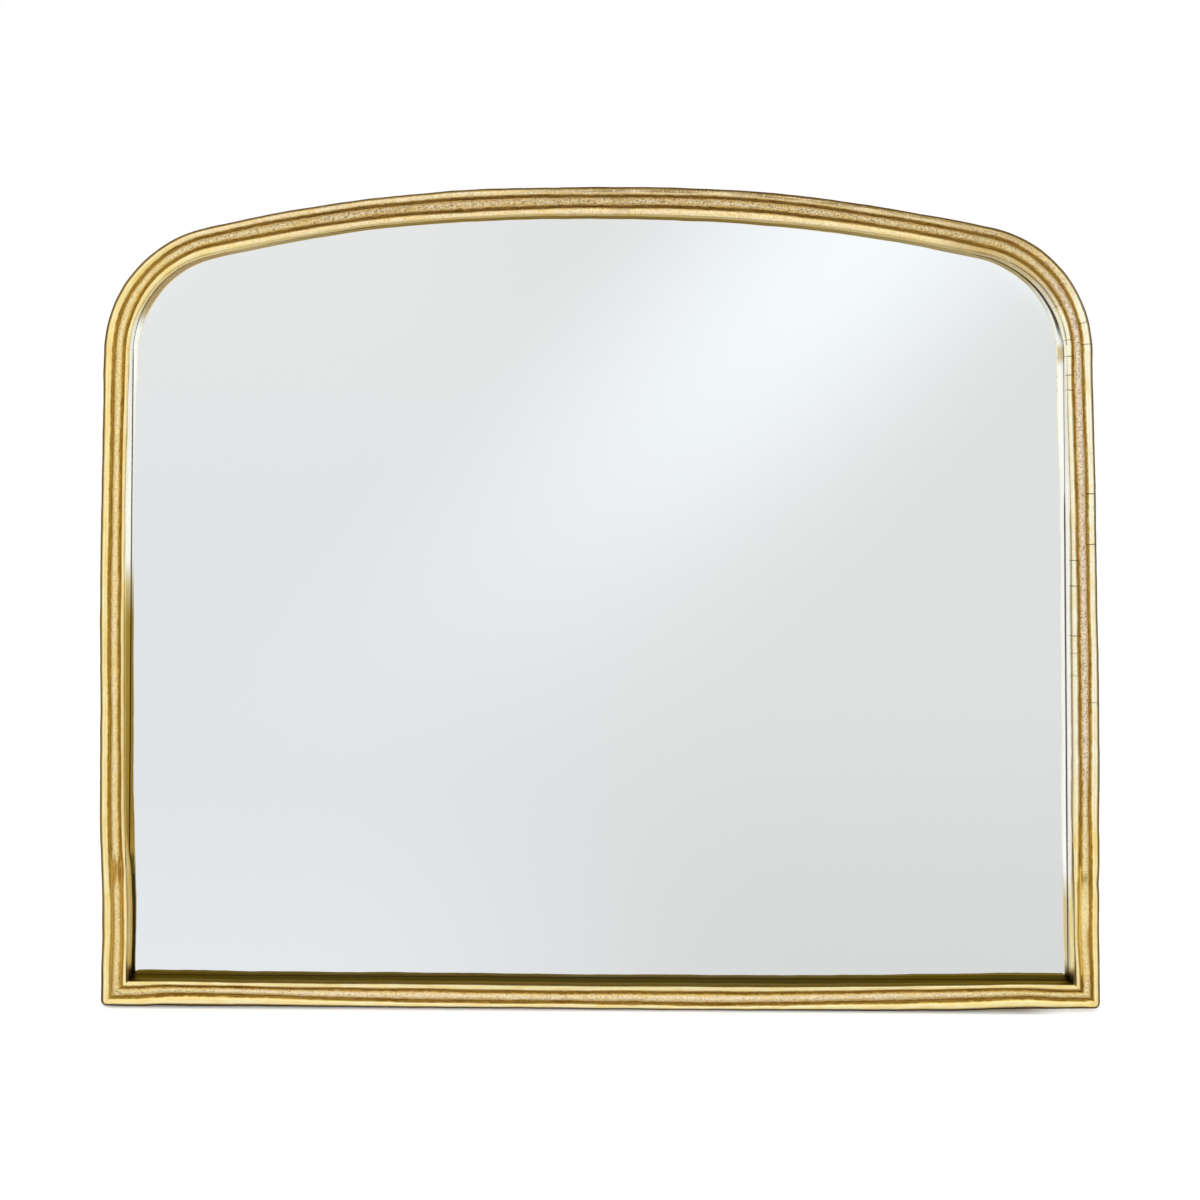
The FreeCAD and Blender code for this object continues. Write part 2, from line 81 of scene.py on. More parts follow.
# Moves towards the glass at the edges of the three reeds, at places along the frame from left to right.
REED_SHIFT = (
    (-1.907, (0, -0.0015, -0.0015, -0.0020)),
    (-1.650, (0.0005, 0, 0, -0.0010)),
    (-1.500, (0.0005, 0.0025, 0.0015, -0.0010)),
    (-1.360, (0.0010, 0.0020, 0.0025, 0.0010)),
    (-1.230, (0.0005, 0.0010, 0.0005, 0.0005)),
    (-1.150, (0, 0.0020, 0.0025, 0)),
    (-0.950, (0, 0.0020, 0.0020, -0.0005)),
    (-0.740, (0.0005, 0.0025, 0.0030, 0.0015)),
    (-0.620, (0.0010, 0.0040, 0.0045, 0.0025)),
    (-0.450, (0.0010, 0.0020, 0.0020, 0.0030)),
    (-0.260, (0, 0.0005, 0.0020, 0.0020)),
    (-0.140, (0.0005, 0.0020, 0.0045, 0.0035)),
    (-0.050, (0.0020, 0.0030, 0.0035, 0.0045)),
    (0.030, (0.0015, 0.0030, 0.0040, 0.0055)),
    (0.200, (0.0005, 0.0015, 0.0020, 0.0045)),
    (0.360, (0.0015, 0.0030, 0.0030, 0.0040)),
    (0.480, (0.0010, 0.0030, 0.0032, 0.0048)),
    (0.560, (0.0008, 0.0030, 0.0032, 0.0040)),
    (0.640, (0.0005, 0.0030, 0.0030, 0.0015)),
    (0.800, (0, 0.0010, 0.0010, 0.0010)),
    (0.980, (-0.0005, 0.0010, 0.0005, 0.0020)),
    (1.140, (0, 0.0020, 0.0010, 0.0035)),
    (1.230, (0, 0.0010, 0.0020, 0.0018)),
    (1.330, (0.0010, 0.0030, 0.0025, 0.0008)),
    (1.460, (0.0010, 0.0020, 0.0040, 0.0015)),
    (1.600, (0, 0.0005, 0.0010, -0.0005)),
    (1.750, (0, -0.0020, -0.0010, -0.0020)),
    (1.907, (0, -0.0015, -0.0015, -0.0020)),
)
# The left leg was set inwards at its splice, by these moves at the edges of its reeds.
LEG_SHIFT = (0.0030, 0.0054, 0.0055, 0.0052)
# Heights at which that move begins and is full, and insets at which it is full and ends.
LEG_TOP, LEG_FULL = 0.230, 0.095
LEG_HELD, LEG_END = 0.03, 0.06

# The inner reed stands nearly flat from its crest to the sight edge, keeping this share of its fall.
INNER_FALL = 0.30
# How far the sight edge rolls back to the glass, at places along the frame from left to right.
SIGHT_ROLL = (
    (-1.907, 0.0066),
    (-1.345, 0.0060),
    (-1.325, 0.0125),
    (-1.205, 0.0125),
    (-1.165, 0.0025),
    (-1.000, 0.0022),
    (-0.870, 0.0040),
    (-0.694, 0.0062),
    (-0.596, 0.0062),
    (-0.400, 0.0085),
    (0.400, 0.0085),
    (0.480, 0.0115),
    (0.570, 0.0110),
    (0.660, 0.0060),
    (0.906, 0.0035),
    (1.150, 0.0040),
    (1.220, 0.0100),
    (1.340, 0.0100),
    (1.500, 0.0060),
    (1.907, 0.0066),
)
# How wide the rolled edge is, at places along the frame from left to right.
ROLL_WIDTH = (
    (-1.345, 0.0012),
    (-1.325, 0.0034),
    (-1.205, 0.0034),
    (-1.165, 0.0012),
    (0.400, 0.0013),
    (0.480, 0.0026),
    (0.570, 0.0026),
    (0.660, 0.0012),
    (1.150, 0.0012),
    (1.220, 0.0030),
    (1.330, 0.0030),
    (1.360, 0.0012),
)

# Places on the face of the frame, as (x, z), with their spread and the way the metal was moved.
BENT_PLACES = (
    ((0.0, 0.9), (0.17, 0.10), (0, 0, -0.0015)),
    ((-0.55, 0.49), (0.10, 0.14), (-0.0016, 0, 0)),
    ((-0.522, 0.62), (0.006, 0.12), (-0.0013, 0, 0)),
    ((0.55, 0.28), (0.10, 0.15), (0.0016, 0, 0)),
    ((0.55, 0.70), (0.10, 0.09), (-0.0020, 0, 0)),
    ((0.56, 0.0), (0.10, 0.06), (0, 0, 0.0038)),
    ((-0.45, 0.013), (0.12, 0.008), (0, 0, 0.0024)),
    ((0.45, 0.013), (0.12, 0.008), (0, 0, 0.0032)),
)
DRESSED_PLACES = (
    # Left splice: the middle reed pinched to a ridge between two hollows, with a bead of filler.
    ((-0.5338, 0.150), (0.0026, 0.014), (0, 0.0026, 0)),
    ((-0.5292, 0.150), (0.0012, 0.012), (0, -0.0010, 0)),
    ((-0.5245, 0.149), (0.0016, 0.010), (0, 0.0020, 0)),
    ((-0.5250, 0.1535), (0.0010, 0.004), (0, -0.0012, 0)),
    ((-0.5180, 0.146), (0.0030, 0.012), (0.0004, -0.0006, 0)),
    # Right splice: a lump in the inner groove, a flattened flank below it, a swollen inner reed.
    ((0.5322, 0.147), (0.0024, 0.006), (0, -0.0028, 0)),
    ((0.5325, 0.118), (0.0034, 0.022), (0, 0.0016, 0)),
    ((0.5250, 0.139), (0.0030, 0.007), (-0.0006, -0.0010, 0)),
    ((0.5396, 0.105), (0.0024, 0.020), (0, -0.0008, 0)),
    ((0.5480, 0.140), (0.0040, 0.008), (-0.0008, 0.0004, 0)),
    # Mitres: pits where the weld was not filled.
    ((-0.5290, 0.0150), (0.0040, 0.0025), (0, 0.0014, 0)),
    ((-0.5330, 0.0130), (0.0016, 0.0016), (0, 0.0012, 0)),
    ((0.5390, 0.0100), (0.0050, 0.0030), (0, 0.0014, 0)),
    ((0.5345, 0.0135), (0.0016, 0.0016), (0, 0.0012, 0)),
    # Foot rail: scallops where the lower groove was filed by hand.
    ((0.0400, 0.0068), (0.0070, 0.0026), (0, 0.0010, 0)),
    ((0.0920, 0.0066), (0.0080, 0.0026), (0, 0.0011, 0)),
    ((0.1640, 0.0068), (0.0080, 0.0026), (0, 0.0010, 0)),
    ((0.2050, 0.0070), (0.0060, 0.0024), (0, 0.0008, 0)),
)


def length(name, description, default):
    return FloatProperty(
        name=name, description=description, default=default, unit="LENGTH", precision=4
    )


def angle(name, description, degrees):
    return FloatProperty(
        name=name, description=description, default=math.radians(degrees), subtype="ANGLE"
    )


def colour(name, description, default):
    return FloatVectorProperty(
        name=name, description=description, default=default, subtype="COLOR", size=3, min=0, max=1
    )


def place(name, description, default):
    return FloatVectorProperty(
        name=name, description=description, default=default, subtype="TRANSLATION", size=3
    )


class MirrorSizes(bpy.types.PropertyGroup):
    """Sizes of the reeded castings, from the outside of the frame inwards and from front to back."""

    half_width: length("Half width", "Midline to the outside of the frame", ARCH_HIGH.x)
    height: length("Height", "Foot of the frame to the top of the arch", ARCH_HIGH.z)
    splice_height: length("Splice height", "Foot to the joint of leg and arch", LEG_HIGH.z)
    crown_radius: length("Crown radius", "Outside radius of the shallow arch", 2.02)
    shoulder_radius: length("Shoulder radius", "Outside radius beside the arch", 0.144)
    corner_radius: length("Corner radius", "Dressed outside corner at the foot", 0.006)
    outer_reed: length("Outer reed", "Width of the outermost reed", 0.009)
    middle_reed: length("Middle reed", "Width of the middle reed", 0.011)
    inner_reed: length("Inner reed", "Width of the reed beside the glass", 0.009)
    relief: length("Relief", "Outer and inner reeds above the grooves", 0.0032)
    middle_relief: length("Middle relief", "Middle reed above the grooves", 0.0029)
    groove_round: length("Groove rounding", "Half width of the rounded groove bottoms", 0.0008)
    wall: length("Wall", "Side walls of the channel", 0.004)
    front_wall: length("Front wall", "Metal behind the grooves", 0.0038)
    fillet: length("Fillet", "Inside corners of the channel", 0.002)
    crest_y: length("Crests", "Place of the reed crests", LEG_LOW.y)
    ledge_y: length("Ledge", "Place of the ledge over the glass", TAPE_LOW.y)
    back_y: length("Back", "Place of the rim of the castings", LEG_HIGH.y)
    step: length("Step", "Length of a face along the reeds", 0.002)
    reed_steps: IntProperty(name="Reed steps", description="Faces round a reed", default=12, min=4)
    fillet_steps: IntProperty(name="Fillet steps", description="Faces in a fillet", default=3, min=1)


class MirrorColours(bpy.types.PropertyGroup):
    """Colours of the finishes."""

    brass_bright: colour("Bright brass", "Rubbed crests of the reeds", (0.97, 0.83, 0.43))
    # Pale brass is a paler tone on the middle of the foot rail, and a painted highlight on the crests
    # of the right side and in the glints of the crown.
    pale_brass_and_highlight: colour("Pale brass", "Polished crests on the right", (0.97, 0.92, 0.70))
    # Warm brass is the brass's own warmer tone in mottles and streaks, and on the flanks of the reeds
    # it is also painted shade.
    brass_warm: colour("Warm brass", "Flanks of the reeds", (0.87, 0.59, 0.13))
    middle_brass: colour("Matt brass", "Middle reed on the left", (0.95, 0.79, 0.43))
    middle_dark: colour("Matt brass, low", "Hollows of the middle reed", (0.40, 0.23, 0.07))
    champagne: colour("Champagne", "Middle reed on the right", (0.99, 0.83, 0.64))
    sand: colour("Sand", "Gritty reeds of the crown", (0.93, 0.75, 0.51))
    crown_brown: colour("Crown brown", "Worn lacquer on the crown", (0.30, 0.19, 0.065))
    # Groove brown is the patina in the grooves; it also serves as painted shade at the outer rim, on
    # the lower left inner flank and on the inner reed of the right shoulder.
    groove_brown: colour("Groove brown", "Patina left in the grooves", (0.33, 0.165, 0.012))
    groove_dark: colour("Groove shade", "Patina in the crown's grooves", (0.13, 0.055, 0.008))
    undercoat: colour("Undercoat", "Pinkish coat where the brass is chipped", (0.60, 0.33, 0.22))
    wall_brown: colour("Wall brown", "Stained front edge of the sight wall", (0.26, 0.15, 0.04))
    wall_brass: colour("Wall brass", "Side walls, greener than the reeds", (0.62, 0.50, 0.23))
    # Wall highlight is a painted highlight: near-white paint on stretches of the sight wall and its
    # lip.
    wall_highlight: colour("Wall bright", "Polished sight wall", (0.97, 0.95, 0.88))
    # Wall shade is painted shade on the sight walls of the foot rail and the left leg.
    wall_shade: colour("Wall stain", "Darkened sight wall of the foot rail", (0.070, 0.060, 0.032))
    # Foot shade is painted shade: near black where the sight wall meets the glass, on the lip of the
    # foot rail and under it.
    foot_shade: colour("Wall foot", "Dirt where the sight wall meets the glass", (0.07, 0.04, 0.015))
    wall_sheen: colour("Wall sheen", "Dirty sight wall seen along its face", (0.55, 0.47, 0.27))
    silvering: colour("Silvering", "Mirror behind clear glass", (0.93, 0.945, 0.948))


class HardwareSizes(bpy.types.PropertyGroup):
    """Sizes of the screws on the back."""

    head: length("Head", "Diameter of the pan heads", 0.007)
    head_height: length("Head height", "Height of the pan heads", 0.0022)
    shank: length("Shank", "Diameter of the shanks", 0.0035)
    recess_span: length("Recess span", "Length of each arm pair of the cross recess", 0.0037)
    recess_width: length("Recess width", "Width of the arms of the cross recess", 0.0009)
    recess_depth: length("Recess depth", "Depth of the cross recess", 0.0013)
    round_steps: IntProperty(name="Round steps", description="Faces round a screw", default=28, min=8)


class StageSettings(bpy.types.PropertyGroup):
    """Camera, light and background."""

    camera: place("Camera", "Where the camera stands", (-0.045, -1.8153, 0.620))
    pitch: angle("Pitch", "Camera tilt above level", 1.444)
    yaw: angle("Yaw", "Camera turn to the left", 0.928)
    roll: angle("Roll", "Camera roll", 0.063)
    lens: FloatProperty(name="Lens", description="Focal length in millimetres", default=48.70)
    shift_right: FloatProperty(name="Shift right", description="Lens shift, in frames", default=0.0586)
    shift_up: FloatProperty(name="Shift up", description="Lens shift, in frames", default=-0.1637)
    floor_size: length("Floor size", "Side of the floor", 14.0)
    lamp_power: FloatProperty(name="Lamp power", description="Watts of each lamp", default=14.0)


# Modelling by hand: a pen for sections, sweeps along the frame and selections by place.


def arc_centre(start, via, end):
    a, b = start - end, via - end
    normal = a.cross(b)
    return end + (b * a.length_squared - a * b.length_squared).cross(normal) / (
        2 * normal.length_squared
    )


class Pen:
    """Draws a section as a chain of edges, by extruding and spinning its newest vertex."""

    def __init__(self, name, start):
        bpy.ops.object.select_all(action="DESELECT")
        bpy.ops.mesh.primitive_plane_add(size=SEED_SIZE)
        self.piece = bpy.context.object
        self.piece.name = name
        self.piece.data.name = name
        bpy.ops.object.mode_set(mode="EDIT")
        bpy.ops.mesh.merge(type="CENTER")
        self.point = Vector(start)
        bpy.ops.transform.translate(value=self.point)

    def line(self, end):
        bpy.ops.mesh.extrude_vertices_move(TRANSFORM_OT_translate={"value": end - self.point})
        self.point = Vector(end)

    def arc(self, via, end, steps):
        """A round stretch through one point to another."""
        centre = arc_centre(self.point, via, end)
        spokes = [p - centre for p in (self.point, via, end)]
        turn = spokes[0].angle(spokes[1]) + spokes[1].angle(spokes[2])
        axis = spokes[1].cross(spokes[0]).normalized()
        bpy.ops.mesh.spin(steps=steps, angle=turn, center=centre, axis=axis)
        self.point = Vector(end)

    def close(self):
        """Merge the last point with the first and leave the whole section selected."""
        bpy.ops.mesh.select_all(action="SELECT")
        bpy.ops.mesh.remove_doubles(threshold=MERGE_GAP)
        bpy.ops.mesh.select_all(action="SELECT")


def select_where(piece, kind, test):
    """Select the vertices, edges or faces that pass a test, in edit mode."""
    bpy.ops.mesh.select_mode(type=kind)
    bpy.ops.mesh.select_all(action="DESELECT")
    mesh = bmesh.from_edit_mesh(piece.data)
    items = {"VERT": mesh.verts, "EDGE": mesh.edges, "FACE": mesh.faces}[kind]
    for item in items:
        if test(item):
            item.select_set(True)
    bmesh.update_edit_mesh(piece.data)


def pick(*pieces):
    """Select only these objects and make the first one active."""
    bpy.ops.object.select_all(action="DESELECT")
    for piece in pieces:
        piece.select_set(True)
    bpy.context.view_layer.objects.active = pieces[0]


def run_straight(move, step):
    """Extrude the selected section in long hops and say how many cuts each hop needs."""
    hops = math.ceil(move.length / (MOST_CUTS * step))
    for hop in range(hops):
        bpy.ops.mesh.extrude_region_move(TRANSFORM_OT_translate={"value": move / hops})
    return round(move.length / hops / step) - 1


def cut_runs(piece, cuts):
    select_where(piece, "EDGE", lambda edge: edge.calc_length() > LONG_EDGE)
    bpy.ops.mesh.subdivide(number_cuts=cuts)


def face_outwards():
    bpy.ops.mesh.select_mode(type="VERT")
    bpy.ops.mesh.select_all(action="SELECT")
    bpy.ops.mesh.normals_make_consistent(inside=False)
    bpy.ops.object.mode_set(mode="OBJECT")


def close_ends(piece):
    """Cap the open ends of a finished casting, so that its dressed face runs on into the next one."""
    bpy.context.view_layer.objects.active = piece
    bpy.ops.object.mode_set(mode="EDIT")
    bpy.ops.mesh.select_all(action="SELECT")
    bpy.ops.mesh.fill_holes(sides=0)
    face_outwards()


def points_of(piece):
    points = np.empty(len(piece.data.vertices) * 3)
    piece.data.vertices.foreach_get("co", points)
    return points.reshape(-1, 3)


def set_points(piece, points):
    piece.data.vertices.foreach_set("co", points.ravel())
    piece.data.update()


def smooth_ramp(values, low, high):
    share = np.clip((values - low) / (high - low), 0, 1)
    return share * share * (3 - 2 * share)


def settle(piece, body, slot, material, *nodes):
    """Give a finished piece its material, and hang it on the frame in place of CAD nodes."""
    piece.data.materials.clear()
    piece.data.materials.append(material)
    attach(piece, body)
    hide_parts(*nodes)


# The frame: shape of the arch, section of the reeds and the five castings.


class ArchShape:
    """Centres and angles of the three-centred arch."""

    def __init__(self, sizes):
        reach = sizes.crown_radius - sizes.shoulder_radius
        self.crown_z = sizes.height - sizes.crown_radius
        self.shoulder_x = sizes.half_width - sizes.shoulder_radius
        self.springing_z = self.crown_z + math.sqrt(reach ** 2 - self.shoulder_x ** 2)
        self.crown_angle = math.asin(self.shoulder_x / reach)
        self.shoulder_angle = math.pi / 2 - self.crown_angle
        self.crown_length = sizes.crown_radius * self.crown_angle
        self.shoulder_length = sizes.shoulder_radius * self.shoulder_angle


def face_width(sizes):
    return sizes.outer_reed + sizes.middle_reed + sizes.inner_reed


def reed_spans(sizes):
    """Each reed's outer edge, width and relief."""
    groove = sizes.outer_reed + sizes.middle_reed
    return (
        (0, sizes.outer_reed, sizes.relief),
        (sizes.outer_reed, sizes.middle_reed, sizes.middle_relief),
        (groove, sizes.inner_reed, sizes.relief),
    )


def draw_frame_section(name, sizes, point):
    """The closed outline of the reeded channel; point turns an inset and a depth into a place."""
    groove_y = sizes.crest_y + sizes.relief
    floor_y = groove_y + sizes.front_wall
    inner = face_width(sizes) - sizes.wall
    bulge = sizes.fillet * (1 - DIAGONAL)
    pen = Pen(name, point(0, sizes.back_y))
    pen.line(point(0, groove_y))
    groove_side = None
    for edge, width, relief in reed_spans(sizes):
        radius = (width ** 2 / 4 + relief ** 2) / (2 * relief)
        rounded = width / 2 - sizes.groove_round
        slope = math.asin(rounded / radius)
        side_y = groove_y - relief + radius * (1 - math.cos(slope))
        if groove_side is not None:
            far_y, far_slope = groove_side
            sag = sizes.groove_round * math.tan((slope + far_slope) / 4)
            bottom = point(edge, (side_y + far_y) / 2 + sag)
            pen.arc(bottom, point(edge + sizes.groove_round, side_y), sizes.fillet_steps)
        groove_side = side_y, slope
        far = edge + width
        last = far > inner
        end = point(far, groove_y) if last else point(far - sizes.groove_round, side_y)
        pen.arc(point(edge + width / 2, groove_y - relief), end, sizes.reed_steps)
    pen.line(point(face_width(sizes), sizes.ledge_y))
    pen.line(point(inner, sizes.ledge_y))
    pen.line(point(inner, floor_y + sizes.fillet))
    pen.arc(
        point(inner - bulge, floor_y + bulge),
        point(inner - sizes.fillet, floor_y),
        sizes.fillet_steps,
    )
    pen.line(point(sizes.wall + sizes.fillet, floor_y))
    pen.arc(
        point(sizes.wall + bulge, floor_y + bulge),
        point(sizes.wall, floor_y + sizes.fillet),
        sizes.fillet_steps,
    )
    pen.line(point(sizes.wall, sizes.back_y))
    pen.line(point(0, sizes.back_y))
    pen.close()
    return pen.piece


def side_section(name, sizes, side):
    def point(inset, depth):
        return Vector((side * (sizes.half_width - inset), depth, sizes.splice_height))

    return draw_frame_section(name, sizes, point)


def model_arch(name, sizes, side):
    """Side, shoulder and half of the crown in one casting; side is -1 on the left, 1 on the right."""
    shape = ArchShape(sizes)
    piece = side_section(name, sizes, side)
    rise = Vector((0, 0, shape.springing_z - sizes.splice_height))
    cuts = run_straight(rise, sizes.step)
    bpy.ops.mesh.spin(
        steps=round(shape.shoulder_length / sizes.step),
        angle=shape.shoulder_angle,
        center=(side * shape.shoulder_x, 0, shape.springing_z),
        axis=(0, side, 0),
    )
    bpy.ops.mesh.spin(
        steps=round(shape.crown_length / sizes.step),
        angle=shape.crown_angle,
        center=(0, 0, shape.crown_z),
        axis=(0, side, 0),
    )
    cut_runs(piece, cuts)
    face_outwards()
    return piece


def cut_mitre(sizes, side, keep_rail):
    """Cut a foot corner on its diagonal and keep either the rail or the leg."""
    bpy.ops.mesh.select_mode(type="VERT")
    bpy.ops.mesh.select_all(action="SELECT")
    bpy.ops.mesh.bisect(
        plane_co=(side * sizes.half_width, 0, 0),
        plane_no=(side * DIAGONAL, 0, DIAGONAL),
        clear_inner=not keep_rail,
        clear_outer=keep_rail,
    )


def model_leg(name, sizes, side):
    piece = side_section(name, sizes, side)
    cuts = run_straight(Vector((0, 0, -sizes.splice_height)), sizes.step)
    cut_runs(piece, cuts)
    cut_mitre(sizes, side, keep_rail=False)
    face_outwards()
    return piece


def model_rail(name, sizes):
    def point(inset, depth):
        return Vector((-sizes.half_width, depth, inset))

    piece = draw_frame_section(name, sizes, point)
    cuts = run_straight(Vector((2 * sizes.half_width, 0, 0)), sizes.step)
    cut_runs(piece, cuts)
    for side in (-1, 1):
        cut_mitre(sizes, side, keep_rail=True)
    face_outwards()
    return piece


def frame_run(points, sizes):
    """For each point, its way along the frame from the crown, its inset and its depth."""
    shape = ArchShape(sizes)
    x, depth, z = np.abs(points[:, 0]), points[:, 1], points[:, 2]
    side = np.where(points[:, 0] < 0, -1, 1)
    from_crown = np.arctan2(x, z - shape.crown_z)
    from_shoulder = np.arctan2(z - shape.springing_z, x - shape.shoulder_x)
    on_crown = from_crown < shape.crown_angle
    on_shoulder = z > shape.springing_z
    crown_inset = sizes.crown_radius - np.hypot(x, z - shape.crown_z)
    shoulder_inset = sizes.shoulder_radius - np.hypot(
        x - shape.shoulder_x, z - shape.springing_z
    )
    side_inset = sizes.half_width - x
    on_rail = z < side_inset
    top_inset = np.where(on_crown, crown_inset, shoulder_inset)
    low_inset = np.where(on_rail, z, side_inset)
    inset = np.where(on_shoulder, top_inset, low_inset)
    shoulder_start = shape.crown_length
    side_start = shoulder_start + shape.shoulder_length
    rail_start = side_start + shape.springing_z
    shoulder_turn = math.pi / 2 - from_shoulder - shape.crown_angle
    along_shoulder = shoulder_start + sizes.shoulder_radius * shoulder_turn
    along_top = np.where(on_crown, sizes.crown_radius * from_crown, along_shoulder)
    along_low = np.where(on_rail, rail_start + side_inset, side_start + shape.springing_z - z)
    along = side * np.where(on_shoulder, along_top, along_low)
    return np.stack([along, inset, depth], 1)


def round_foot_corners(points, sizes):
    """Turn the square contours outside each foot corner's centre into circles."""
    for side in (-1, 1):
        centre = np.array([side * (sizes.half_width - sizes.corner_radius), sizes.corner_radius])
        spoke = points[:, [0, 2]] - centre
        outward = spoke * [side, -1]
        in_corner = (outward > 0).all(1)
        square = outward.max(1)
        reach = np.hypot(*spoke.T)
        scale = np.where(in_corner, square / np.maximum(reach, MERGE_GAP), 1)
        points[:, [0, 2]] = centre + spoke * scale[:, None]
    return points


def drift(along, phase):
    """A slow drift along the frame, between -1 and 1."""
    broad = BROAD_SWAY * np.sin(along * BROAD_PACE + phase)
    return broad + FINE_SWAY * np.sin(along * FINE_PACE + 2 * phase)


def by_inset(inset, sizes, values):
    """Values that hold at the edges of the three reeds, shared out between them."""
    groove = sizes.outer_reed + sizes.middle_reed
    knots = (0, sizes.outer_reed, groove, face_width(sizes))
    shares = np.eye(len(knots))
    return sum(np.interp(inset, knots, share) * value for share, value in zip(shares, values))


def inward_way(points, sizes):
    """For each point, the level direction from the outside of the frame to the glass."""
    shape = ArchShape(sizes)
    side = np.where(points[:, 0] < 0, -1, 1)
    x, z = np.abs(points[:, 0]), points[:, 2]
    on_top = z > shape.springing_z
    on_crown = on_top & (np.arctan2(x, z - shape.crown_z) < shape.crown_angle)
    on_rail = z < sizes.half_width - x
    hub_x = np.where(on_crown, 0, shape.shoulder_x)
    hub_z = np.where(on_crown, shape.crown_z, shape.springing_z)
    spoke = np.stack([hub_x - x, hub_z - z], 1)
    way = spoke / np.linalg.norm(spoke, axis=1, keepdims=True)
    way[~on_top] = (-1, 0)
    way[on_rail] = (0, 1)
    way[:, 0] *= side
    return way


def press(points, front, centre, spread, move):
    """Move the front of a casting about one place, as a hammer, a file or a run of solder does."""
    off = (points[:, [0, 2]] - centre) / spread
    near = np.exp(-(off ** 2).sum(1)) * front
    points += near[:, None] * move


def hand_fit(points, run, sizes):
    """The founder's and the fitter's hands: wandering reeds, offset leg, dressed joints."""
    along, inset, depth = run.T
    front = smooth_ramp(depth, sizes.ledge_y, FRONT_FULL)
    skin = smooth_ramp(depth, SKIN_BACK, SKIN_FULL)
    corner = np.hypot(sizes.half_width - np.abs(points[:, 0]), points[:, 2])
    away = smooth_ramp(corner, CORNER_STILL, CORNER_FREE)
    wander = [reach * drift(along, phase) for reach, phase in REED_WANDER]
    wave = by_inset(inset, sizes, wander)
    places = [place for place, _ in REED_SHIFT]
    shifts = zip(*(moves for _, moves in REED_SHIFT))
    wave += by_inset(inset, sizes, [np.interp(along, places, shift) for shift in shifts])
    points[:, [0, 2]] += inward_way(points, sizes) * (wave * front * away)[:, None]
    leg_inset = points[:, 0] + sizes.half_width
    on_leg = smooth_ramp(points[:, 2], LEG_TOP, LEG_FULL)
    on_leg = on_leg * smooth_ramp(leg_inset, LEG_END, LEG_HELD)
    points[:, 0] += by_inset(leg_inset, sizes, LEG_SHIFT) * on_leg * front
    crest_inset = face_width(sizes) - sizes.inner_reed / 2
    groove_y = sizes.crest_y + sizes.relief
    on_flank = (inset > crest_inset) & (depth < groove_y + MERGE_GAP)
    points[:, 1] -= np.where(on_flank, (depth - sizes.crest_y) * (1 - INNER_FALL), 0)
    roll = np.interp(along, *zip(*SIGHT_ROLL))
    width = np.interp(along, *zip(*ROLL_WIDTH))
    edge = np.clip((inset - face_width(sizes)) / width + 1, 0, 1)
    points[:, 1] += roll * front * edge ** 2
    for share, places in ((front, BENT_PLACES), (skin, DRESSED_PLACES)):
        for centre, spread, move in places:
            press(points, share, np.array(centre), np.array(spread), np.array(move))
    return points


def weight_group(piece, name, weights):
    group = piece.vertex_groups.new(name=name)
    for level in np.unique(weights[weights > 0]):
        group.add(np.nonzero(weights == level)[0].tolist(), float(level), "REPLACE")


def displace(piece, name, group, grain, strength, middle):
    """Push the surface about by a cloud texture of one grain, within a vertex group."""
    texture = bpy.data.textures.get(name) or bpy.data.textures.new(name, "CLOUDS")
    texture.noise_scale = grain
    texture.noise_depth = CLOUD_DEPTH
    modifier = piece.modifiers.new(name, "DISPLACE")
    modifier.texture = texture
    modifier.texture_coords = "LOCAL"
    modifier.vertex_group = group
    modifier.strength = strength
    modifier.mid_level = middle
    bpy.context.view_layer.objects.active = piece
    bpy.ops.object.modifier_apply(modifier=name)


def finish_casting(piece, node, sizes, material):
    """Dress a casting: rounded foot corners, wandering reeds, grainy middle reed, and its finish."""
    points = points_of(piece)
    run = frame_run(points, sizes)
    attribute = piece.data.attributes.new("run", "FLOAT_VECTOR", "POINT")
    attribute.data.foreach_set("vector", run.astype(np.float32).ravel())
    points = hand_fit(round_foot_corners(points, sizes), run, sizes)
    set_points(piece, points)
    groove_y = sizes.crest_y + sizes.relief
    on_face = (run[:, 2] < groove_y + MERGE_GAP).astype(float)
    groove_two = sizes.outer_reed + sizes.middle_reed
    on_middle = on_face * (run[:, 1] > sizes.outer_reed) * (run[:, 1] < groove_two)
    weight_group(piece, "face", on_face)
    weight_group(piece, "middle_reed", on_middle)
    displace(piece, "wandering reeds", "face", grain=0.03, strength=0.0010, middle=0.75)
    displace(piece, "cast grain", "middle_reed", grain=0.004, strength=0.0006, middle=0.6)
    piece.vertex_groups.clear()
    close_ends(piece)
    pick(piece)
    bpy.ops.object.shade_smooth_by_angle(angle=CASTING_CREASE)
    settle(piece, "mirror", "cast_frame", material, node)


# Materials: a small graph builder, shared effects and one function for each finish.

# Stretches of the frame with marks of their own: start, end and fade, measured along the frame from
# the middle of the crown, negative on the left.
CHIPPED_RUN = (0.42, 0.53, 0.04)
CRACKED_RUN = (0.56, 1.00, 0.04)
FILED_SHOULDER = (0.42, 0.54, 0.06)
SHADED_SHOULDER = (0.42, 0.54, 0.05)
FILED_PATCH = (0.018, 0.036, 0.004)
# Stretches where the sight wall and its lip get a painted highlight.
HIGHLIT_RIGHT = (0.56, 1.20, 0.05)
HIGHLIT_LEFT = (-0.86, -0.60, 0.04)
PLATED_BLOB = (0.630, 0.638, 0.012)
# Stretches for the painted shade at the foot of the sight wall: higher up the wall on the right
# shoulder, and kept light on a right and a left stretch.
BLACK_EDGE = (0.44, 0.60, 0.03)
UNSHADED_RIGHT = (0.62, 0.78, 0.03)
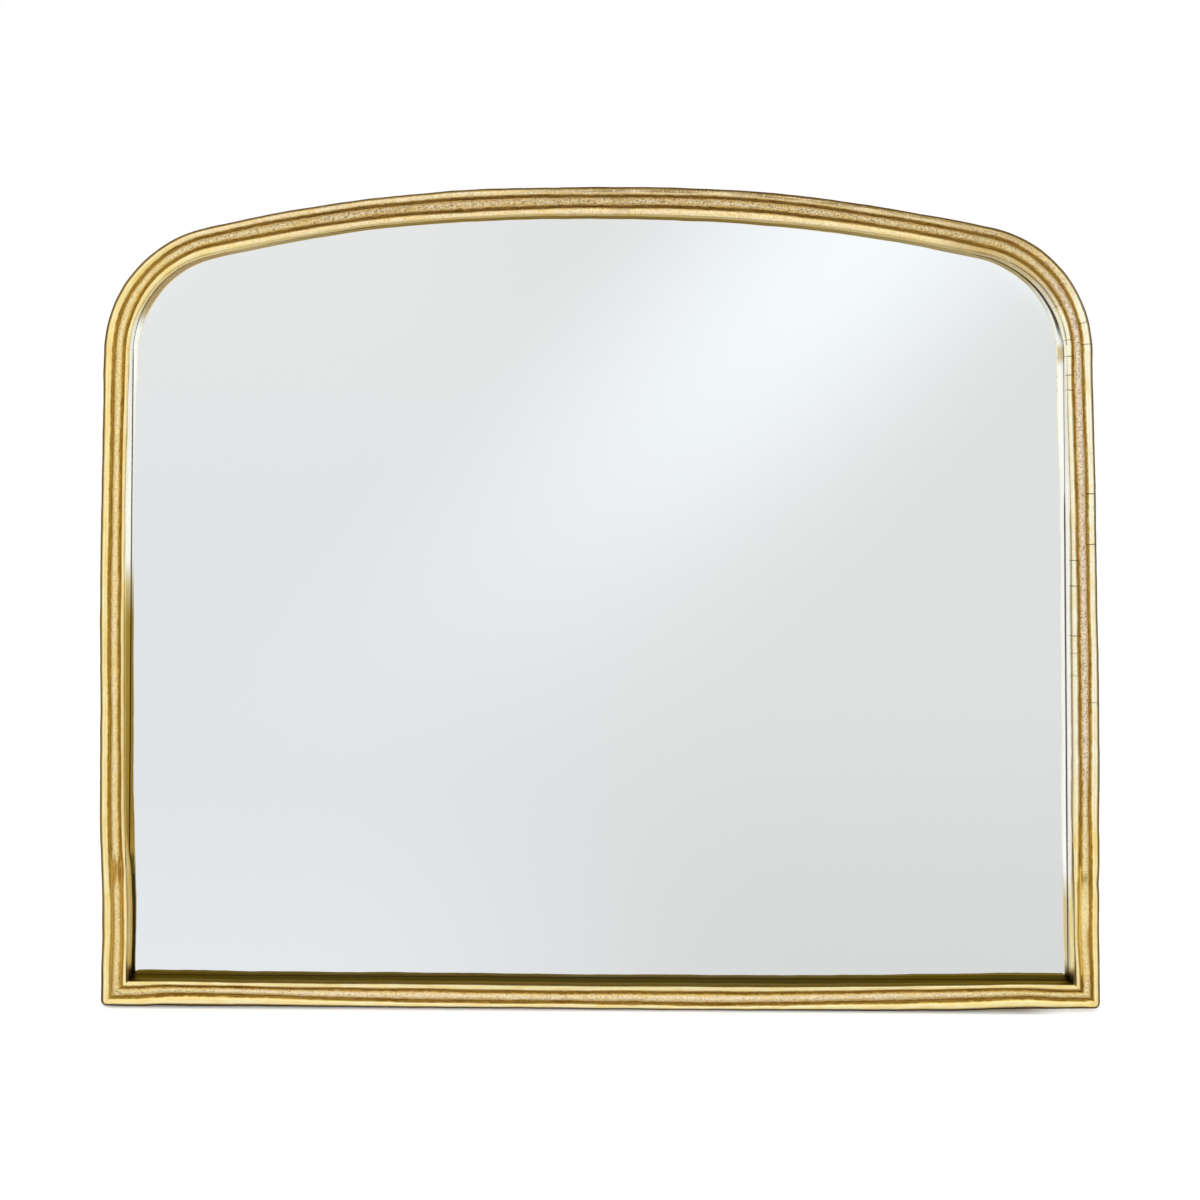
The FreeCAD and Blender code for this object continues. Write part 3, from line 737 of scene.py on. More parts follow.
# The left leg, whose sight wall gets painted shade.
SHADED_LEG = (-1.345, -1.20, 0.01)
UNSHADED_LEFT = (-0.62, -0.42, 0.03)
LEFT_SPLICE = (-1.216, -1.200, 0.01)
RIGHT_SPLICE = (1.203, 1.315, 0.008)
LEFT_SHOULDER = (-0.56, -0.44, 0.04)
LEFT_LOW = (-1.34, -0.94, 0.06)
LINED_RIGHT = (0.84, 1.20, 0.06)

# Colours of the stage: what the glass mirrors from left to right, the beam on it, light and floor.
WHITE = (1.0, 1.0, 1.0)
WALL_LEFT = (0.81, 0.825, 0.835)
WALL_LEFT_HIGH = (0.85, 0.846, 0.843)
WALL_LEFT_LOW = (0.845, 0.858, 0.88)
WALL_RIGHT = (0.785, 0.797, 0.786)
WALL_RIGHT_LOW = (0.735, 0.733, 0.729)
BEAM = (0.99, 1.02, 1.045)
STUDIO_LIGHT = (0.75, 0.75, 0.75)
FLOOR_GREY = (0.8, 0.8, 0.8)


class Graph:
    """Adds nodes to a tree; an input is a value or the socket that feeds it."""

    def __init__(self, tree):
        self.tree = tree

    def node(self, kind, inputs=(), **settings):
        node = self.tree.nodes.new(kind)
        for name, value in settings.items():
            setattr(node, name, value)
        for key, value in dict(inputs).items():
            self.feed(node.inputs[key], value)
        return node

    def feed(self, socket, value):
        if isinstance(value, bpy.types.NodeSocket):
            self.tree.links.new(value, socket)
        else:
            socket.default_value = value

    def math(self, operation, first, second=0.0, third=0.0):
        node = self.node("ShaderNodeMath", {0: first, 1: second, 2: third}, operation=operation)
        return node.outputs[0]

    def times(self, first, *others):
        for other in others:
            first = self.math("MULTIPLY", first, other)
        return first

    def most(self, first, second):
        return self.math("MAXIMUM", first, second)

    def scaled(self, value, gain, start):
        return self.math("MULTIPLY_ADD", value, gain, start)

    def parts(self, vector):
        return self.node("ShaderNodeSeparateXYZ", {"Vector": vector}).outputs

    def vector(self, x, y):
        return self.node("ShaderNodeCombineXYZ", {"X": x, "Y": y}).outputs["Vector"]

    def ramp(self, value, low, high, start=0.0, end=1.0):
        """A smooth change from start to end as the value goes from low to high."""
        inputs = {"Value": value, "From Min": low, "From Max": high, "To Min": start, "To Max": end}
        node = self.node("ShaderNodeMapRange", inputs, interpolation_type="SMOOTHSTEP")
        return node.outputs["Result"]

    def band(self, value, low, high, fade):
        """1 between two values, fading to 0 outside them."""
        rising = self.ramp(value, low - fade, low)
        return self.math("MULTIPLY", rising, self.ramp(value, high, high + fade, 1.0, 0.0))

    def noise(self, vector, scale, detail=3.0, roughness=0.55):
        inputs = {"Vector": vector, "Scale": scale, "Detail": detail, "Roughness": roughness}
        return self.node("ShaderNodeTexNoise", inputs).outputs["Fac"]

    def mix(self, factor, first, second):
        inputs = {0: factor, 6: first, 7: second}
        return self.node("ShaderNodeMix", inputs, data_type="RGBA").outputs[2]

    def paint(self, base, colour, *masks):
        """Lay a colour over another one, as far as all the masks let it."""
        return self.mix(self.times(*masks), base, rgba(colour))

    def bump(self, height, strength, distance):
        inputs = {"Height": height, "Strength": strength, "Distance": distance}
        return self.node("ShaderNodeBump", inputs).outputs["Normal"]


def rgba(values):
    return (*values, 1.0)


def empty_graph(owner):
    owner.use_nodes = True
    owner.node_tree.nodes.clear()
    return Graph(owner.node_tree)


def new_material(name):
    material = bpy.data.materials.new(name)
    graph = empty_graph(material)
    shader = graph.node("ShaderNodeBsdfPrincipled")
    output = graph.node("ShaderNodeOutputMaterial", {"Surface": shader.outputs["BSDF"]})
    output.is_active_output = True
    return material, graph, shader


def wear_group():
    """Shared effect: broad mottling, fine grain and scattered pits."""
    name = "Surface wear"
    if name in bpy.data.node_groups:
        return bpy.data.node_groups[name]
    tree = bpy.data.node_groups.new(name, "ShaderNodeTree")
    tree.interface.new_socket("Vector", in_out="INPUT", socket_type="NodeSocketVector")
    for title in ("Mottle Scale", "Grain Scale", "Pit Scale", "Pit Size"):
        tree.interface.new_socket(title, in_out="INPUT", socket_type="NodeSocketFloat")
    for title in ("Mottle", "Grain", "Pits"):
        tree.interface.new_socket(title, in_out="OUTPUT", socket_type="NodeSocketFloat")
    graph = Graph(tree)
    given = graph.node("NodeGroupInput").outputs
    mottle = graph.noise(given["Vector"], given["Mottle Scale"], 4.0, 0.6)
    grain = graph.noise(given["Vector"], given["Grain Scale"], 4.0, 0.65)
    cells = graph.node(
        "ShaderNodeTexVoronoi", {"Vector": given["Vector"], "Scale": given["Pit Scale"]}
    ).outputs["Distance"]
    hollow = graph.node(
        "ShaderNodeMapRange",
        {"Value": cells, "From Min": 0.0, "From Max": given["Pit Size"], "To Min": 1.0, "To Max": 0.0},
        interpolation_type="SMOOTHSTEP",
    ).outputs["Result"]
    sparse = graph.ramp(graph.noise(given["Vector"], given["Pit Scale"], 1.0), 0.44, 0.56)
    pits = graph.times(hollow, sparse)
    graph.node("NodeGroupOutput", {"Mottle": mottle, "Grain": grain, "Pits": pits})
    return tree


def wear(graph, vector, mottle, grain, pit_scale, pit_size):
    inputs = {
        "Vector": vector,
        "Mottle Scale": mottle,
        "Grain Scale": grain,
        "Pit Scale": pit_scale,
        "Pit Size": pit_size,
    }
    node = graph.tree.nodes.new("ShaderNodeGroup")
    node.node_tree = wear_group()
    for key, value in inputs.items():
        graph.feed(node.inputs[key], value)
    return node.outputs


class CastingMasks:
    """Where a point lies on the castings, and masks for their parts, as sockets of one material."""

    def __init__(self, graph, sizes):
        run = graph.node("ShaderNodeAttribute", attribute_name="run").outputs["Vector"]
        self.along, self.inset, self.depth = graph.parts(run)
        self.spot = graph.node("ShaderNodeTexCoord").outputs["Object"]
        self.across, _, self.up = graph.parts(self.spot)
        groove_y = sizes.crest_y + sizes.relief
        self.front = graph.ramp(self.depth, groove_y + 0.0002, groove_y + 0.0015, 1.0, 0.0)
        self.walls = graph.math("SUBTRACT", 1.0, self.front)
        self.mark_sides(graph)
        self.mark_reeds(graph, sizes)

    def mark_reeds(self, graph, sizes):
        """Flanks and grooves, with ragged limits, and the middle and outer reeds."""
        ragged = graph.scaled(graph.noise(self.spot, 120.0, 4.0), 0.0024, -0.0012)
        wavy_inset = graph.math("ADD", self.inset, ragged)
        flank = 1.0
        spans = [(edge, width) for edge, width, _ in reed_spans(sizes)]
        spans[-1] = (spans[-1][0], spans[-1][1] + 0.0022)
        for edge, width in spans:
            off = graph.math("ABSOLUTE", graph.math("SUBTRACT", wavy_inset, edge + width / 2))
            flank = graph.math("MINIMUM", graph.math("DIVIDE", off, width / 2), flank)
        groove_one = sizes.outer_reed
        groove_two = groove_one + sizes.middle_reed
        middle = graph.band(self.inset, groove_one + 0.0012, groove_two - 0.0012, 0.0012)
        self.middle = graph.times(middle, self.front)
        self.inner = graph.ramp(self.inset, groove_two, groove_two + 0.0015)
        filled = graph.band(self.inset, groove_two - 0.003, groove_two + 0.002, 0.001)
        self.filled = graph.times(filled, graph.band(self.along, *RIGHT_SPLICE))
        narrow = graph.times(self.right, 0.35)
        steeper = graph.math("ADD", narrow, 1.0)
        flank = graph.scaled(flank, steeper, graph.times(narrow, -1.0))
        splice = graph.band(self.along, *LEFT_SPLICE)
        flank = graph.scaled(graph.times(splice, self.middle), 0.28, flank)
        # Flanks of the reeds: partly the brass's warmer tone, partly painted shade away from the
        # crests.
        self.warm_flank_and_shade = graph.times(graph.ramp(flank, 0.34, 0.74), self.front)
        self.grooves = graph.times(graph.ramp(flank, 0.62, 0.90), self.front)
        # The outer rim of the face, where the outer reed turns away, for painted shade.
        self.rim = graph.times(graph.ramp(self.inset, 0.0038, 0.0016), self.front)
        face = face_width(sizes)
        self.sight = graph.ramp(self.inset, face - 0.004, face - 0.002)
        self.lip = graph.times(graph.ramp(self.inset, face - 0.0014, face - 0.0006), self.front)
        # The inner reed's flank on the lower left, for painted shade.
        low_flank_shade = graph.times(graph.ramp(self.inset, face - 0.0040, face - 0.0020), self.front)
        self.low_flank_shade = graph.times(low_flank_shade, self.left_low)
        lined = graph.band(self.along, *LINED_RIGHT)
        line = graph.band(self.inset, face - 0.0019, face - 0.0011, 0.0004)
        self.lip_line = graph.times(line, lined, self.front)

    def mark_sides(self, graph):
        """Parts of the frame that were dressed or have aged in their own way, and stretches given a
        painted highlight or painted shade.
        """
        stile = graph.times(graph.ramp(self.up, 0.15, 0.30), graph.ramp(self.up, 0.85, 0.76))
        self.right = graph.times(graph.ramp(self.across, 0.30, 0.52), stile)
        # Stretches where the sight wall and its lip get a painted highlight.
        self.highlit = graph.most(
            graph.band(self.along, *HIGHLIT_RIGHT),
            graph.band(self.along, *HIGHLIT_LEFT),
        )
        self.shaded_leg = graph.band(self.along, *SHADED_LEG)
        self.left_low = graph.band(self.along, *LEFT_LOW)
        self.crown = graph.ramp(self.up, 0.80, 0.89)
        self.rail = graph.ramp(self.up, 0.05, 0.033)
        low_grit = graph.times(self.rail, 0.3)
        coarse = graph.most(self.right, graph.most(self.crown, low_grit))
        self.gritty = graph.scaled(coarse, 0.5, 0.5)


def reed_colour(graph, masks, marks, pits, colours):
    """Rubbed crests, painted pale as a highlight on the right; matt and gritty middle reed; warm flanks
    that are partly painted shade; brown grooves; painted shade at the outer rim, the lower left inner
    flank and the foot rail; a painted highlight on some lips.
    """
    # Painted highlight: the crests on the right side are painted pale, as if facing a bright light.
    crest = graph.mix(masks.right, rgba(colours.brass_bright), rgba(colours.pale_brass_and_highlight))
    mid_rail = graph.times(masks.rail, graph.ramp(graph.math("ABSOLUTE", masks.across), 0.48, 0.36))
    crest = graph.paint(crest, colours.pale_brass_and_highlight, mid_rail, 0.2)
    mottled = graph.ramp(marks["Mottle"], 0.45, 0.75, 0.0, 0.4)
    crest = graph.paint(crest, colours.brass_warm, mottled)
    rosy = graph.most(masks.right, graph.times(mid_rail, 0.6))
    matt = graph.mix(rosy, rgba(colours.middle_brass), rgba(colours.champagne))
    base = graph.mix(graph.times(masks.middle, 0.9), crest, matt)
    base = graph.paint(base, colours.sand, masks.crown, 0.7)
    grainy = graph.scaled(masks.crown, 0.30, 0.10)
    grainy = graph.scaled(masks.middle, 0.50, grainy)
    speckle = graph.times(graph.ramp(marks["Grain"], 0.44, 0.62), masks.gritty, grainy)
    base = graph.paint(base, colours.middle_dark, speckle)
    base = graph.paint(base, colours.brass_warm, rubbed_streaks(graph, masks))
    # Flanks painted warmer and darker than the crests: partly the brass's own tone, partly painted
    # shade.
    base = graph.paint(base, colours.brass_warm, masks.warm_flank_and_shade, 0.85)
    base = graph.paint(base, colours.crown_brown, worn_lacquer(graph, masks))
    bright = graph.most(masks.crown, graph.times(masks.middle, masks.gritty, 0.6))
    glints = graph.times(graph.ramp(graph.noise(masks.spot, 700.0, 2.0), 0.60, 0.67), bright)
    base = graph.paint(base, colours.pale_brass_and_highlight, glints)
    base = graph.paint(base, colours.undercoat, chipped(graph, masks))
    stained = graph.times(masks.grooves, graph.ramp(marks["Mottle"], 0.2, 0.75, 1.0, 0.8))
    rubbed = graph.most(graph.times(masks.shaded_leg, 0.35), graph.times(masks.filled, 0.75))
    stained = graph.times(stained, graph.math("SUBTRACT", 1.0, rubbed))
    darker = graph.most(masks.crown, graph.times(masks.right, 0.2))
    darker = graph.most(darker, graph.times(masks.rail, 0.5))
    patina = graph.mix(darker, rgba(colours.groove_brown), rgba(colours.groove_dark))
    base = graph.mix(stained, base, patina)
    # Painted shade along the outer rim.
    base = graph.paint(base, colours.groove_brown, masks.rim, 0.6)
    # Painted shade on the inner reed's flank on the lower left.
    base = graph.paint(base, colours.groove_brown, masks.low_flank_shade, 0.40)
    shaded = graph.times(graph.band(masks.along, *SHADED_SHOULDER), masks.inner, 0.35)
    base = graph.paint(base, colours.groove_brown, shaded)
    # Painted highlight: the lip is painted near white on those stretches, less so on the right stile.
    lip_highlight = graph.scaled(masks.right, -0.6, 0.8)
    base = graph.paint(base, colours.wall_highlight, masks.highlit, masks.lip, lip_highlight)
    base = graph.paint(base, colours.wall_brown, masks.lip_line, 0.7)
    # Painted shade on the lip of the foot rail and on the underside of its bottom reed.
    base = graph.paint(base, colours.foot_shade, masks.rail, masks.lip, 0.9)
    underside = graph.times(masks.rail, graph.ramp(masks.inset, 0.0026, 0.0012))
    base = graph.paint(base, colours.foot_shade, underside)
    return graph.paint(base, colours.middle_dark, pits)


def rubbed_streaks(graph, masks):
    """Streaks along the reeds where the polish was not rubbed through, fewer on the right."""
    streak_spot = graph.vector(graph.times(masks.along, 26.0), graph.times(masks.inset, 420.0))
    streaks = graph.ramp(graph.noise(streak_spot, 1.0, 3.0), 0.42, 0.66)
    return graph.times(streaks, graph.scaled(masks.right, -0.35, 0.50))


def worn_lacquer(graph, masks):
    """Streaks along the outer reed, from the middle of the crown to the right shoulder."""
    streak_spot = graph.vector(graph.times(masks.along, 18.0), graph.times(masks.inset, 700.0))
    streaks = graph.ramp(graph.noise(streak_spot, 1.0, 2.0), 0.32, 0.56)
    upper = graph.ramp(masks.inset, 0.0050, 0.0065, 1.0, 0.0)
    return graph.times(streaks, upper, masks.crown, graph.ramp(masks.across, -0.12, 0.0), 0.9)


def chipped(graph, masks):
    """Chips on the inner flank of the outer reed at the right shoulder."""
    shoulder = graph.band(masks.along, *CHIPPED_RUN)
    flank = graph.band(masks.inset, 0.0050, 0.0100, 0.001)
    flakes = graph.ramp(graph.noise(masks.spot, 220.0, 4.0), 0.48, 0.60)
    return graph.times(shoulder, flank, flakes, 0.7)


def hairlines(graph, masks):
    """Hairline cracks in clusters across the outer and inner reeds of the right side."""
    inner = graph.ramp(masks.inset, 0.0140, 0.0150)
    spacing = graph.scaled(masks.along, 48.0, graph.times(inner, 0.37))
    jitter = graph.times(graph.noise(masks.spot, 260.0, 2.0), 0.10)
    cells = graph.node(
        "ShaderNodeTexVoronoi",
        {"W": graph.math("ADD", spacing, jitter), "Scale": 1.0},
        voronoi_dimensions="1D",
        feature="DISTANCE_TO_EDGE",
    ).outputs["Distance"]
    cluster_spot = graph.vector(graph.times(masks.along, 22.0), graph.times(inner, 7.3))
    clusters = graph.ramp(graph.noise(cluster_spot, 1.0, 1.0), 0.51, 0.57)
    plain = graph.math("SUBTRACT", 1.0, masks.middle)
    cracked = graph.times(graph.band(masks.along, *CRACKED_RUN), masks.front, plain)
    return graph.times(graph.ramp(cells, 0.008, 0.022, 1.0, 0.0), clusters, cracked)


def file_marks(graph, masks):
    """Slanting scratches on the right shoulder and on a dressed patch of the crown."""
    slant = graph.times(graph.math("ADD", masks.across, masks.up), 60.0)
    over = graph.times(graph.math("SUBTRACT", masks.across, masks.up), 700.0)
    scratches = graph.ramp(graph.noise(graph.vector(slant, over), 1.0, 3.0), 0.40, 0.62)
    shoulder = graph.band(masks.along, *FILED_SHOULDER)
    patch = graph.band(masks.along, *FILED_PATCH)
    return graph.times(scratches, graph.most(shoulder, patch), masks.front)


def wall_colour(graph, masks, sizes, colours):
    """Brass outside; on the sight side stretches with a painted highlight, a brown front edge, painted
    shade on the walls of the foot rail and left leg, and painted shade at the glass.
    """
    along, depth, sight, highlit = masks.along, masks.depth, masks.sight, masks.highlit
    # Painted highlight: the sight wall is painted near white on those stretches, except on a small blob
    # on the right.
    plated = graph.scaled(graph.band(along, *PLATED_BLOB), -0.9, 1.0)
    tone = graph.mix(
        graph.times(highlit, sight, plated), rgba(colours.wall_brass), rgba(colours.wall_highlight)
    )
    tone = graph.paint(tone, colours.wall_brown, masks.crown, sight, 0.7)
    browned = graph.most(graph.band(along, *LEFT_SHOULDER), masks.left_low)
    tone = graph.paint(tone, colours.groove_brown, browned, sight, 0.6)
    # Painted shade: the sight walls of the foot rail and, more lightly, of the left leg are painted
    # near black.
    shaded_walls = graph.most(masks.rail, graph.times(masks.shaded_leg, 0.75))
    tone = graph.paint(tone, colours.wall_shade, shaded_walls, sight)
    groove_y = sizes.crest_y + sizes.relief
    front_edge = graph.ramp(depth, groove_y + 0.001, groove_y + 0.004, 1.0, 0.0)
    edge_share = graph.scaled(highlit, -0.25, 0.25)
    edge_share = graph.scaled(masks.crown, 0.55, edge_share)
    tone = graph.paint(tone, colours.wall_brown, front_edge, edge_share)
    # Painted shade: the foot of the sight wall is painted near black where it meets the glass, higher
    # up on the right shoulder and faintly on two stretches.
    unshaded = graph.most(
        graph.band(along, *UNSHADED_RIGHT),
        graph.band(along, *UNSHADED_LEFT),
    )
    unshaded = graph.scaled(unshaded, -0.8, 0.95)
    reach = graph.scaled(graph.band(along, *BLACK_EDGE), 0.007, 0.002)
    foot = graph.ramp(graph.math("ADD", depth, reach), sizes.ledge_y - 0.001, sizes.ledge_y + 0.0005)
    return graph.paint(tone, colours.foot_shade, foot, sight, unshaded)


def brass_finish(sizes, colours):
    """Aged brass on the castings: bright crests, brown grooves, gritty middle reed, hairlines."""
    name = "aged brass casting"
    if name in bpy.data.materials:
        return bpy.data.materials[name]
    material, graph, shader = new_material(name)
    masks = CastingMasks(graph, sizes)
    marks = wear(graph, masks.spot, 35.0, 520.0, 300.0, 0.44)
    pit_share = graph.scaled(masks.crown, 0.25, 0.08)
    pit_share = graph.scaled(masks.middle, 0.7, pit_share)
    pits = graph.times(marks["Pits"], pit_share, masks.gritty)
    cracks = hairlines(graph, masks)
    files = file_marks(graph, masks)
    base = reed_colour(graph, masks, marks, pits, colours)
    base = graph.paint(base, colours.groove_dark, cracks, 0.75)
    base = graph.paint(base, colours.middle_dark, files, 0.2)
    base = graph.mix(masks.walls, base, wall_colour(graph, masks, sizes, colours))

    relief = graph.scaled(masks.crown, 0.4, 0.2)
    relief = graph.scaled(masks.middle, 0.9, relief)
    height = graph.times(marks["Grain"], relief, masks.gritty)
    height = graph.math("SUBTRACT", height, pits)
    height = graph.math("SUBTRACT", height, graph.times(cracks, 0.8))
    height = graph.math("SUBTRACT", height, graph.times(files, 0.2))
    rough = graph.scaled(masks.middle, 0.12, 0.30)
    rough = graph.scaled(masks.grooves, 0.12, rough)
    rough = graph.scaled(marks["Grain"], 0.12, rough)
    dull = graph.most(graph.most(masks.crown, masks.rail), masks.left_low)
    dull = graph.times(dull, graph.most(masks.walls, masks.lip), masks.sight)
    tint = graph.mix(dull, rgba(WHITE), rgba(colours.wall_sheen))
    graph.feed(shader.inputs["Base Color"], base)
    shader.inputs["Metallic"].default_value = 1.0
    graph.feed(shader.inputs["Specular Tint"], tint)
    graph.feed(shader.inputs["Roughness"], rough)
    graph.feed(shader.inputs["Normal"], graph.bump(height, 0.8, 0.0010))
    return material


def mirror_finish(colours):
    """Silvered glass with the faintest bloom of handling."""
    material, graph, shader = new_material("silvered glass")
    spot = graph.node("ShaderNodeTexCoord").outputs["Object"]
    bloom = graph.noise(spot, 6.0, 5.0)
    shader.inputs["Base Color"].default_value = rgba(colours.silvering)
    shader.inputs["Metallic"].default_value = 1.0
    graph.feed(shader.inputs["Roughness"], graph.ramp(bloom, 0.4, 0.9, 0.004, 0.02))
    return material


def flat_finish(name, first, second, rough, grain, metallic=0.0):
    """A plain mottled finish with a fine grain, for rubber, board, foam and steel."""
    material, graph, shader = new_material(name)
    spot = graph.node("ShaderNodeTexCoord").outputs["Object"]
    marks = wear(graph, spot, 18.0, grain, 140.0, 0.3)
    base = graph.mix(graph.ramp(marks["Mottle"], 0.35, 0.7), rgba(first), rgba(second))
    shader.inputs["Metallic"].default_value = metallic
    graph.feed(shader.inputs["Base Color"], base)
    graph.feed(shader.inputs["Roughness"], graph.scaled(marks["Grain"], 0.2, rough))
    height = graph.math("SUBTRACT", marks["Grain"], marks["Pits"])
    graph.feed(shader.inputs["Normal"], graph.bump(height, 0.25, 0.0003))
    return material


def finish_nodes(material, *nodes):
    """Give carried-over CAD nodes their finish."""
    for node in nodes:
        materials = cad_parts[node].data.materials
        materials.clear()
        materials.append(material)


# Hardware on the back.


def screw_places(node, gap):
    """Where the screws of a CAD node stand, as the middle of each cluster of its points."""
    clusters = []
    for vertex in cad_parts[node].data.vertices:
        spot = vertex.co
        for cluster in clusters:
            if math.hypot(spot.x - cluster[0].x, spot.z - cluster[0].z) < gap:
                cluster.append(spot)
                break
        else:
            clusters.append([spot])
    places = []
    for cluster in clusters:
        x = [spot.x for spot in cluster]
        z = [spot.z for spot in cluster]
        top = max(spot.y for spot in cluster)
        places.append(Vector(((min(x) + max(x)) / 2, top, (min(z) + max(z)) / 2)))
    return places


def model_screw(hardware, shank_length):
    """A pan-head screw with a cross recess, its head on top at the origin and its shank along -Y."""
    rim = hardware.head / 2
    shank = hardware.shank / 2
    low = -hardware.head_height
    pen = Pen("screw", Vector((0, 0, 0)))
    pen.line(Vector((rim * 0.55, -0.0001, 0)))
    pen.arc(Vector((rim * 0.9, low * 0.38, 0)), Vector((rim, low, 0)), 5)
    pen.line(Vector((shank, low, 0)))
    pen.line(Vector((shank, low - shank_length + shank, 0)))
    pen.line(Vector((0, low - shank_length, 0)))
    bpy.ops.mesh.select_all(action="SELECT")
    bpy.ops.mesh.spin(
        steps=hardware.round_steps, angle=math.tau, center=(0, 0, 0), axis=(0, 1, 0)
    )
    bpy.ops.mesh.select_all(action="SELECT")
    bpy.ops.mesh.remove_doubles(threshold=MERGE_GAP)
    face_outwards()
    screw = pen.piece
    for turn in (0, math.pi / 2):
        bpy.ops.object.select_all(action="DESELECT")
        bpy.ops.mesh.primitive_cube_add(size=1, rotation=(0, turn, 0))
        cutter = bpy.context.object
        cutter.scale = (hardware.recess_span, 2 * hardware.recess_depth, hardware.recess_width)
        modifier = screw.modifiers.new("recess", "BOOLEAN")
        modifier.operation = "DIFFERENCE"
        modifier.solver = "EXACT"
        modifier.object = cutter
        bpy.context.view_layer.objects.active = screw
        bpy.ops.object.modifier_apply(modifier="recess")
        bpy.data.objects.remove(cutter)
    return screw


def copy_screws(screw, name, places):
    """Copies of one screw, each driven to its own angle, joined into one piece."""
    copies = []
    for number, spot in enumerate(places):
        pick(screw)
        bpy.ops.object.duplicate()
        copy = bpy.context.object
        copy.location = spot
        copy.rotation_euler = (0, number * SCREW_TURN, 0)
        copies.append(copy)
    pick(*copies)
    piece = copies[0]
    bpy.ops.object.join()
    bpy.ops.object.transform_apply(location=True, rotation=True, scale=True)
    bpy.ops.object.shade_smooth_by_angle(angle=SCREW_CREASE)
    bpy.data.objects.remove(screw)
    piece.name = name
    piece.data.name = name
    return piece


# Operators, one for each group of pieces and one for the stage.


def make_castings(context, model, *pieces):
    """Model castings, each given by its name and its side, and dress them."""
    sizes = context.scene.mirror_sizes
    material = brass_finish(sizes, context.scene.mirror_colours)
    for name, *side in pieces:
        piece = model(name, sizes, *side)
        finish_casting(piece, f"{name}_casting", sizes, material)
    return {"FINISHED"}


class MIRROR_OT_arch_castings(bpy.types.Operator):
    """Model the two halves of the arch with their sides"""

    bl_idname = "mirror.arch_castings"
    bl_label = "Arch castings"
    bl_options = {"REGISTER", "UNDO"}

    def execute(self, context):
        return make_castings(context, model_arch, ("left_arch", -1), ("right_arch", 1))


class MIRROR_OT_leg_castings(bpy.types.Operator):
    """Model the two legs below the splices"""

    bl_idname = "mirror.leg_castings"
    bl_label = "Leg castings"
    bl_options = {"REGISTER", "UNDO"}

    def execute(self, context):
        return make_castings(context, model_leg, ("left_leg", -1), ("right_leg", 1))


class MIRROR_OT_foot_rail(bpy.types.Operator):
    """Model the foot rail between its mitres"""

    bl_idname = "mirror.foot_rail"
    bl_label = "Foot rail"
    bl_options = {"REGISTER", "UNDO"}

    def execute(self, context):
        return make_castings(context, model_rail, ("foot_rail",))


class MIRROR_OT_glazing_finish(bpy.types.Operator):
    """Finish the glass, the backing board and what seats them"""

    bl_idname = "mirror.glazing_finish"
    bl_label = "Glass and backing"
    bl_options = {"REGISTER", "UNDO"}

    def execute(self, context):
        colours = context.scene.mirror_colours
        finish_nodes(mirror_finish(colours), "mirror_glass")
        rubber = flat_finish("matt rubber", (0.03, 0.03, 0.03), (0.05, 0.05, 0.05), 0.6, 900.0)
        board = flat_finish("painted board", (0.045, 0.043, 0.04), (0.06, 0.058, 0.055), 0.55, 700.0)
        steel = flat_finish("zinc steel", (0.62, 0.62, 0.60), (0.70, 0.70, 0.69), 0.3, 500.0, 1.0)
        foam = flat_finish("foam tape", (0.10, 0.075, 0.06), (0.14, 0.11, 0.09), 0.7, 1200.0)
        finish_nodes(foam, "glazing_tape")
        finish_nodes(rubber, "glass_setting_blocks", "glass_side_spacers")
        finish_nodes(rubber, "left_wall_bumper", "right_wall_bumper")
        finish_nodes(board, "backing_board")
        finish_nodes(steel, "joint_welds")
        for side in ("left", "right"):
            finish_nodes(steel, f"{side}_hanger_strap", f"{side}_hanger_ring")
        return {"FINISHED"}


class MIRROR_OT_screws(bpy.types.Operator):
    """Drive the screws of the backing board and of the hangers"""

    bl_idname = "mirror.screws"
    bl_label = "Screws"
    bl_options = {"REGISTER", "UNDO"}

    def execute(self, context):
        hardware = context.scene.mirror_hardware
        steel = flat_finish("screw steel", (0.62, 0.62, 0.60), (0.72, 0.72, 0.70), 0.28, 500.0, 1.0)
        for name, node in (("board_screws", "backing_screws"), ("strap_screws", "hanger_screws")):
            low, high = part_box(node)
            shank_length = high.y - low.y - hardware.head_height
            places = screw_places(node, 2 * hardware.head)
            piece = copy_screws(model_screw(hardware, shank_length), name, places)
            settle(piece, "mirror", "screw_steel", steel, node)
        return {"FINISHED"}


def aim(obj, target):
    obj.rotation_euler = (Vector(target) - obj.location).to_track_quat("-Z", "Y").to_euler()


def add_lamp(name, spot, target, width, height, watts):
    bpy.ops.object.light_add(type="AREA", location=spot)
    lamp = bpy.context.object
    lamp.name = name
    lamp.data.shape = "RECTANGLE"
    lamp.data.size = width
    lamp.data.size_y = height
    lamp.data.energy = watts
    lamp.visible_glossy = False
    aim(lamp, target)


